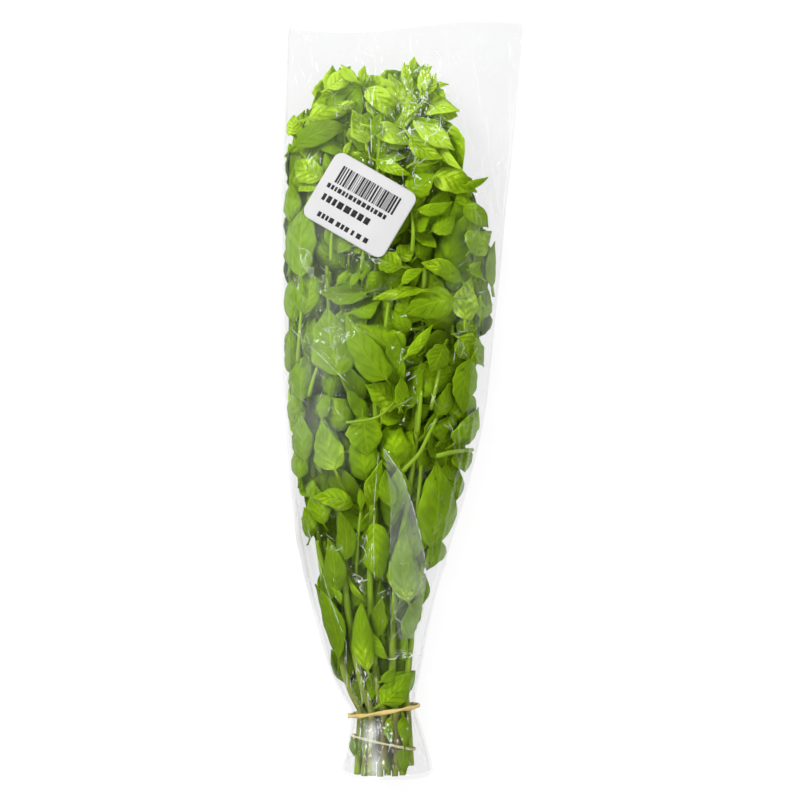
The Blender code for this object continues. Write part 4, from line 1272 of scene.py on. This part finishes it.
# The same, with how bright the painted glints, small white specks, are.
SPARKLE = (
    (12, 172, 7, 8, 0.95), (9, 158, 9, 5, 0.75), (-5, 147, 8, 5, 0.6), (-48, 126, 6, 5, 0.6),
    (-14, 128, 8, 5, 0.5), (-18, 76, 10, 4, 0.5), (-35, 33, 8, 8, 0.35), (-35, -77, 4, 3, 0.6),
    (-19, -76, 4, 6, 0.6), (-8, -100, 4, 6, 0.5), (-22, -150, 6, 8, 0.6), (-14, -178, 9, 8, 0.9),
    (-12, -196, 8, 8, 0.75), (-5, -180, 5, 5, 0.7),
)
# The pleat, a fold of film that lies over the front: y, left x, right x.
PLEAT = np.array(
    (
        (-128, -2, 6), (-110, -5, 11), (-90, -6, 14), (-85, -6.5, 12),
        (-70, -6.5, 9), (-55, -6.5, 5), (-40, -8, 0), (-26.0, -10.5, -9.0),
    )
)
PLEAT_ROWS = 100
PLEAT_COLUMNS = 26
LABEL_CENTRE = (-22.8, 103.8)
LABEL_SIZE = (50.0, 40.0)
LABEL_TURN = math.radians(-30.5)
LABEL_CORNER = 5.0
LABEL_THICKNESS = 0.25
BAND_SLOPE = 0.16


def from_segment(x, y, start, end):
    """Distance from a straight segment, and on which side of it."""
    dx, dy = end[0] - start[0], end[1] - start[1]
    x, y = x - start[0], y - start[1]
    t = np.clip((x * dx + y * dy) / (dx * dx + dy * dy), 0, 1)
    return np.hypot(x - t * dx, y - t * dy), np.where(x * dy - y * dx < 0, -1.0, 1.0)


def line_distance(x, y, points):
    return np.minimum.reduce([from_segment(x, y, *ends)[0] for ends in zip(points, points[1:])])


def all_creases():
    """Every crease that shows as a line, a bump with a painted highlight: how bright it is, and its points.
    """
    rng = np.random.default_rng(CRINKLE_SEED)
    lines = [(painted_highlight, points) for _, _, painted_highlight, points in CREASES]
    for x, y, reach_x, reach_y, count, lengths, direction, spread, painted_highlight in CRINKLES:
        for _ in range(count):
            middle = np.array([x + reach_x * rng.normal(0, 0.6), y + reach_y * rng.normal(0, 0.6)])
            angle = math.radians(rng.normal(direction, spread))
            run = np.array([math.cos(angle), math.sin(angle)]) * rng.uniform(*lengths) / 2
            bend = np.array([-run[1], run[0]]) * rng.normal(0.0, 0.18)
            lines.append((painted_highlight * rng.uniform(0.4, 1.3), (middle - run, middle + bend, middle + run)))
    return lines


def signed_creases(x, y, front):
    """Signed distance to the nearest crease, and how strongly its bump and painted highlight show there."""
    distance = np.full(x.shape, 9.0)
    gain = np.zeros(x.shape)
    for painted_highlight, points in all_creases():
        for ends in zip(points, points[1:]):
            away, side = from_segment(x, y, *ends)
            nearer = away < np.abs(distance)
            distance = np.where(nearer, away * side, distance)
            gain = np.where(nearer, painted_highlight * (1 - smooth_step((away - 1.0) / 0.9)), gain)
    return distance, np.where(front, gain, 0.0)


def spots(table, x, y, front):
    """How strong each row of a table of soft spots is at each point."""
    for place_x, place_y, wide, high, strength in table:
        near = np.exp(-(((x - place_x) / wide) ** 2 + ((y - place_y) / high) ** 2))
        yield np.where(front, strength, 0) * near


def label_local(x, y):
    dx = x - LABEL_CENTRE[0]
    dy = y - LABEL_CENTRE[1]
    along = dx * math.cos(LABEL_TURN) + dy * math.sin(LABEL_TURN)
    up = -dx * math.sin(LABEL_TURN) + dy * math.cos(LABEL_TURN)
    return along, up


def film_relief(x, y, front):
    """How far the film stands out from its smooth form, and how slack it is."""
    centre, half, _, _ = section(y)
    across = (x - centre) / half
    left, right = outline(y)
    slack = smooth_step((x - right - 1.0) / 9.0) + smooth_step((left - x - 1.0) / 9.0)
    slack = np.clip(slack + smooth_step((y - 180.0) / 12.0), 0.0, 1.0)
    long = ridged(across * 6.0 + 0.3 * noise(x / 30, y / 60, 5), y / 60.0, 11) - 0.5
    diagonal = ridged((x + 0.55 * y) / 15.0, (y - 0.55 * x) / 34.0, 12) - 0.5
    other = ridged((x - 0.45 * y) / 17.0, (y + 0.45 * x) / 38.0, 13) - 0.5
    small = ridged(x / 5.5, y / 8.5, 14) - 0.5
    relief = 0.30 * long + 0.30 * diagonal + 0.25 * other + 0.14 * small
    relief += slack * (1.3 * long + 1.1 * diagonal + 0.8 * other)
    relief += slack * 0.9 * noise(x / 22, y / 40, 15)
    for height, width, _, points in CREASES:
        ridge = np.maximum(0, 1 - line_distance(x, y, points) / width) ** 1.3
        relief += np.where(front, height, 0.0) * ridge
    neck = np.exp(-(((y - NECK_Y) / 26.0) ** 2))
    gathers = ridged(across * 9.0 + 0.25 * noise(y / 14, x / 20, 16), y / 90.0, 17) - 0.9
    relief = relief * (1 - 0.7 * neck) + 1.6 * neck * gathers
    foot = smooth_step((-176.0 - y) / 14.0)
    relief += foot * (1.1 * ridged(across * 4.0, y / 26.0, 18) - 0.7 + 0.5 * noise(x / 7, y / 9, 19))
    u, v = label_local(x, y)
    near = np.maximum(np.abs(u) - LABEL_SIZE[0] / 2, np.abs(v) - LABEL_SIZE[1] / 2)
    under_label = 1 - smooth_step(near / 4.0)
    relief = np.where(front, relief * (1 - under_label), relief)
    hard = np.exp(-(((y - NECK_Y - BAND_SLOPE * (x + 10)) / 3.0) ** 2))
    return np.where(hard > 0.3, np.minimum(relief, -0.05), relief), slack


def film_tube():
    """The film's own tube: points, quads, values."""
    rows = []
    for y in np.linspace(STATION_Y[0], STATION_Y[-1], FILM_ROWS):
        angle = np.linspace(0.0, 2 * math.pi, FILM_ANGLES)
        x, z = film_point(angle, np.full_like(angle, y))
        run = np.concatenate([[0], np.cumsum(np.hypot(np.diff(x), np.diff(z)))])
        target = np.linspace(0, run[-1], FILM_COLUMNS + 1)[:-1]
        rows.append((np.full(FILM_COLUMNS, y), *(np.interp(target, run, part) for part in (x, z, angle))))
    y, x, z, angle = (np.array(part) for part in zip(*rows))
    front = np.sin(angle) >= 0
    run_x, run_z = (np.roll(part, -1, axis=1) - np.roll(part, 1, axis=1) for part in (x, z))
    size = np.hypot(run_x, run_z) + 1e-9
    relief, slack = film_relief(x, y, front)
    relief = np.where(front, relief, np.clip(relief, -0.4, 0.0))
    side = np.minimum(np.abs(np.sin(angle)) * 3.0, 1.0)
    relief = np.minimum(relief, 1.2 + 1.5 * slack) * (0.35 + 0.65 * side)
    out_x = run_z / size
    out_z = -run_x / size
    new_z = np.maximum(z + relief * out_z, 0.0)
    points = np.stack([x + relief * out_x, y + rim_shift(x, y), new_z], axis=-1).reshape(-1, 3)
    index = np.arange(FILM_ROWS * FILM_COLUMNS).reshape(FILM_ROWS, FILM_COLUMNS)
    quads = grid_quads(wrapped(index))[:, (0, 3, 2, 1)]
    # Painted reflection: a whitish sheen from the patches, a little noise and the slack film.
    painted_sheen = sum(spots(SHEEN_SPOTS, x, y, front), 0.001 * noise(x / 16, y / 24, 31) + 0.006 * slack)
    crease, gain = signed_creases(x, y, front)
    values = {
        "painted_sheen": np.clip(painted_sheen, 0.0, MOST_SHEEN),
        "painted_film_shade": np.maximum.reduce(list(spots(PAINTED_FILM_SHADE, x, y, front))),
        "sparkle": sum(spots(SPARKLE, x, y, front)),
        "crease": crease,
        "crease_relief_and_highlight": gain,
    }
    return points, quads, {key: value.ravel() for key, value in values.items()}


def film_pleat():
    """The pleat: points, quads, values."""
    y = np.linspace(PLEAT[0, 0], PLEAT[-1, 0], PLEAT_ROWS)
    left, right = (np.interp(y, PLEAT[:, 0], PLEAT[:, column]) for column in (1, 2))
    share = np.linspace(0, 1, PLEAT_COLUMNS)
    x = left[:, None] + (right - left)[:, None] * share
    y = y[:, None] + 0 * x
    front = np.ones_like(x, bool)
    relief, _ = film_relief(x, y, front)
    lift = 0.25 + 0.7 * np.sin(math.pi * share) ** 0.6 * np.ones_like(x) + 0.5 * share**4
    z = film_top(x, y) + relief + lift
    quads = grid_quads(np.arange(x.size).reshape(x.shape))
    crease, gain = signed_creases(x, y, front)
    values = {
        # Painted reflection over the pleat, stronger towards its right edge.
        "painted_sheen": (0.055 + 0.045 * share**3 + 0 * x).ravel(),
        "painted_film_shade": 0.0,
        "sparkle": 0.0,
        "crease": crease.ravel(),
        "crease_relief_and_highlight": gain.ravel(),
    }
    return np.stack([x, y, z], axis=-1).reshape(-1, 3), quads, values


def build_film(material):
    points, quads, values = joined([film_tube(), film_pleat()])
    piece = make_piece("film_sleeve", points, quads, material, ["sleeve"], values)


# ---------------------------------------------------------------- label and bands
# Bars: from and to along the label, bottom and top, and the widths of bars and gaps.
BARS = (-18.0, 18.0, 3.8, 14.0)
BAR_WIDTHS = [0.38, 0.38, 0.76, 1.14]
BAR_GAPS = [0.38, 0.38, 0.76]
LABEL_SEED = 7
# Rows of plain marks under the bars: from and to along the label, bottom and top.
LABEL_ROWS = ((-20.5, 16.0, -0.4, 2.2), (-19.5, 11.0, -7.6, -3.8), (-17.0, 12.5, -16.4, -13.6))
PRINT_STEP = 1.5
PRINT_LIFT = 0.03
PRINT_THICKNESS = 0.06


def label_place(u, v, lift):
    x = LABEL_CENTRE[0] + u * math.cos(LABEL_TURN) - v * math.sin(LABEL_TURN)
    y = LABEL_CENTRE[1] + u * math.sin(LABEL_TURN) + v * math.cos(LABEL_TURN)
    return np.stack([x, y, film_top(x, y) + GAP + LABEL_THICKNESS + lift], axis=-1)


def label_marks():
    """Generic bars and dark blocks: from and to along the label, bottom and top."""
    rng = np.random.default_rng(LABEL_SEED)
    marks = []
    place, end, low, high = BARS
    while place < end:
        width = rng.choice(BAR_WIDTHS)
        marks.append((place, place + width, low, high))
        place += width + rng.choice(BAR_GAPS)
    for place, end, low, high in LABEL_ROWS:
        while place < end:
            width = rng.uniform(0.45, 0.95) * (high - low)
            marks.append((place, place + width, low, high))
            place += width + 0.26 * (high - low) * rng.choice([1, 1, 1, 2.4])
    return marks


def build_label(card, ink):
    half_u, half_v = LABEL_SIZE[0] / 2, LABEL_SIZE[1] / 2
    u, v = np.meshgrid(np.linspace(-1, 1, 61) * half_u, np.linspace(-1, 1, 49) * half_v, indexing="xy")
    inner = (half_u - LABEL_CORNER, half_v - LABEL_CORNER)
    past = [np.maximum(0, np.abs(part) - reach) for part, reach in zip((u, v), inner)]
    distance = np.hypot(*past)
    rounded = distance > LABEL_CORNER
    shrink = np.where(rounded, LABEL_CORNER / np.maximum(distance, 1e-9), 1.0)
    u, v = (
        np.where(rounded, np.sign(part) * (np.minimum(np.abs(part), reach) + over * shrink), part)
        for part, reach, over in zip((u, v), inner, past)
    )
    points, quads = solid_sheet(label_place(u, v, 0.0), np.full(u.shape, LABEL_THICKNESS))
    make_piece("label_card", points, quads, card, ["label"])
    parts = []
    for u0, u1, v0, v1 in label_marks():
        columns = max(2, int((u1 - u0) / PRINT_STEP) + 2)
        rows = max(2, int((v1 - v0) / PRINT_STEP) + 2)
        u, v = np.meshgrid(np.linspace(u0, u1, columns), np.linspace(v0, v1, rows), indexing="xy")
        sheet = solid_sheet(label_place(u, v, PRINT_LIFT), np.full(u.shape, PRINT_THICKNESS))
        parts.append((*sheet, {}))
    points, quads, _ = joined(parts)
    make_piece("label_print", points, quads, ink)


BAND_LIFT = 0.9
BAND_RADIUS = 1.25
BAND_POINTS = 220
INNER_BAND_POINTS = 180
INNER_BAND_RADIUS = 0.85
INNER_BAND_Y = -185.0
INNER_BAND_SLOPE = -0.22
INNER_BAND_CENTRE = (-10.2, 10.6)
INNER_BAND_HALF = (16.9, 7.9)
INNER_BAND_FULLNESS = 2.6


def build_bands(outer_rubber, inner_rubber):
    middle = float(section(NECK_Y)[0])
    angle = 2 * math.pi * np.arange(BAND_POINTS) / BAND_POINTS
    x, _ = film_point(angle, np.full_like(angle, NECK_Y))
    y = NECK_Y + BAND_SLOPE * (x - middle)
    x, z = film_point(angle, y)
    before = film_point(angle - 0.05, y)
    after = film_point(angle + 0.05, y)
    run_x = after[0] - before[0]
    run_z = after[1] - before[1]
    run = np.hypot(run_x, run_z)
    away = GAP + BAND_LIFT
    path = np.stack([x + away * run_z / run, y, z - away * run_x / run], axis=-1)
    points, quads, _ = tube(path, BAND_RADIUS, 12, closed=True, turns=4.0, flat=0.62)
    make_piece("neck_band", points, quads, outer_rubber, ["outer_band"])
    angle = 2 * math.pi * np.arange(INNER_BAND_POINTS) / INNER_BAND_POINTS
    x, z = (
        half * np.sign(part) * np.abs(part) ** (2 / INNER_BAND_FULLNESS)
        for half, part in zip(INNER_BAND_HALF, (np.cos(angle), np.sin(angle)))
    )
    y = INNER_BAND_Y + INNER_BAND_SLOPE * x
    path = np.stack([INNER_BAND_CENTRE[0] + x, y, INNER_BAND_CENTRE[1] + z], axis=-1)
    points, quads, _ = tube(path, INNER_BAND_RADIUS, 10, closed=True, turns=3.0, flat=0.7)
    make_piece("stem_band", points, quads, inner_rubber, ["inner_band"])


# ---------------------------------------------------------------- floor, light, camera
FLOOR_REACH = 3.0
FLOOR_LEVEL = -0.0003
WORLD_STRENGTH = 1.02
SENSOR_WIDTH = 36.0
LENS = 123.9
CAMERA_PLACE = (-0.00134, 0.0, 1.5)
# Name, place, target, sizes, watts, and whether it shows in gloss. The thin strips show in the film
# as streaks.
LAMPS = (
    ("softbox_left", (-1.0, 1.0, 1.0), (0, 0, 0.02), (0.7, 0.7), 39.0, False),
    ("softbox_right", (1.1, -0.2, 1.3), (0, 0, 0.02), (0.8, 0.8), 8.0, False),
    ("strip_left", (-0.50, 0.10, 1.25), (0, 0.05, 0.02), (0.014, 0.70), 0.55, True),
    ("strip_right", (0.42, -0.10, 1.30), (0, -0.05, 0.02), (0.012, 0.60), 0.40, True),
    ("strip_head", (0.10, 0.80, 1.15), (0, 0.10, 0.02), (0.50, 0.014), 0.40, True),
    ("strip_side", (-0.95, 0.30, 0.90), (0, 0.10, 0.02), (0.014, 0.50), 0.40, True),
)


def build_stage():
    mesh = bpy.data.meshes.new("floor")
    signs = ((-1, -1), (1, -1), (1, 1), (-1, 1))
    corners = [(x * FLOOR_REACH, y * FLOOR_REACH, FLOOR_LEVEL) for x, y in signs]
    mesh.from_pydata(corners, [], [(0, 1, 2, 3)])
    mesh.materials.append(floor_material())
    add_object("floor", mesh)


def build_light():
    world = bpy.data.worlds.new("studio")
    bpy.context.scene.world = world
    world.use_nodes = True
    tree = world.node_tree
    tree.nodes.clear()
    background = tree.nodes.new("ShaderNodeBackground")
    background.inputs["Strength"].default_value = WORLD_STRENGTH
    background.inputs["Color"].default_value = (1.0, 1.0, 1.0, 1.0)
    output = tree.nodes.new("ShaderNodeOutputWorld")
    tree.links.new(background.outputs[0], output.inputs[0])
    world.cycles_visibility.glossy = False
    for name, place, target, (size_x, size_y), watts, glossy in LAMPS:
        light = bpy.data.lights.new(name, "AREA")
        light.shape = "RECTANGLE"
        light.size = size_x
        light.size_y = size_y
        light.energy = watts
        holder = add_object(name, light)
        holder.location = place
        holder.rotation_euler = (Vector(target) - Vector(place)).to_track_quat("-Z", "Y").to_euler()
        holder.visible_glossy = glossy


def build_camera():
    camera = bpy.data.cameras.new("camera")
    camera.sensor_width = SENSOR_WIDTH
    camera.lens = LENS
    camera.clip_start = 0.01
    camera.clip_end = 20.0
    holder = add_object("camera", camera)
    holder.location = CAMERA_PLACE
    bpy.context.scene.camera = holder
    bpy.context.scene.view_settings.view_transform = "Standard"


def main():
    bright = leaf_material("basil_leaf_bright", 0.02)
    deep = leaf_material("basil_leaf_deep", -0.02)
    stem_green = stem_material()
    stem_paths = build_stems(stem_green)
    build_foliage(bright, deep, stem_green, stem_paths)
    build_film(film_material())
    build_label(label_material(), ink_material())
    build_bands(
        rubber_material("rubber_tan", (0.50, 0.38, 0.140), (0.34, 0.26, 0.085)),
        rubber_material("rubber_pale", (0.46, 0.42, 0.25), (0.34, 0.31, 0.17)),
    )
    build_stage()
    build_light()
    build_camera()


main()
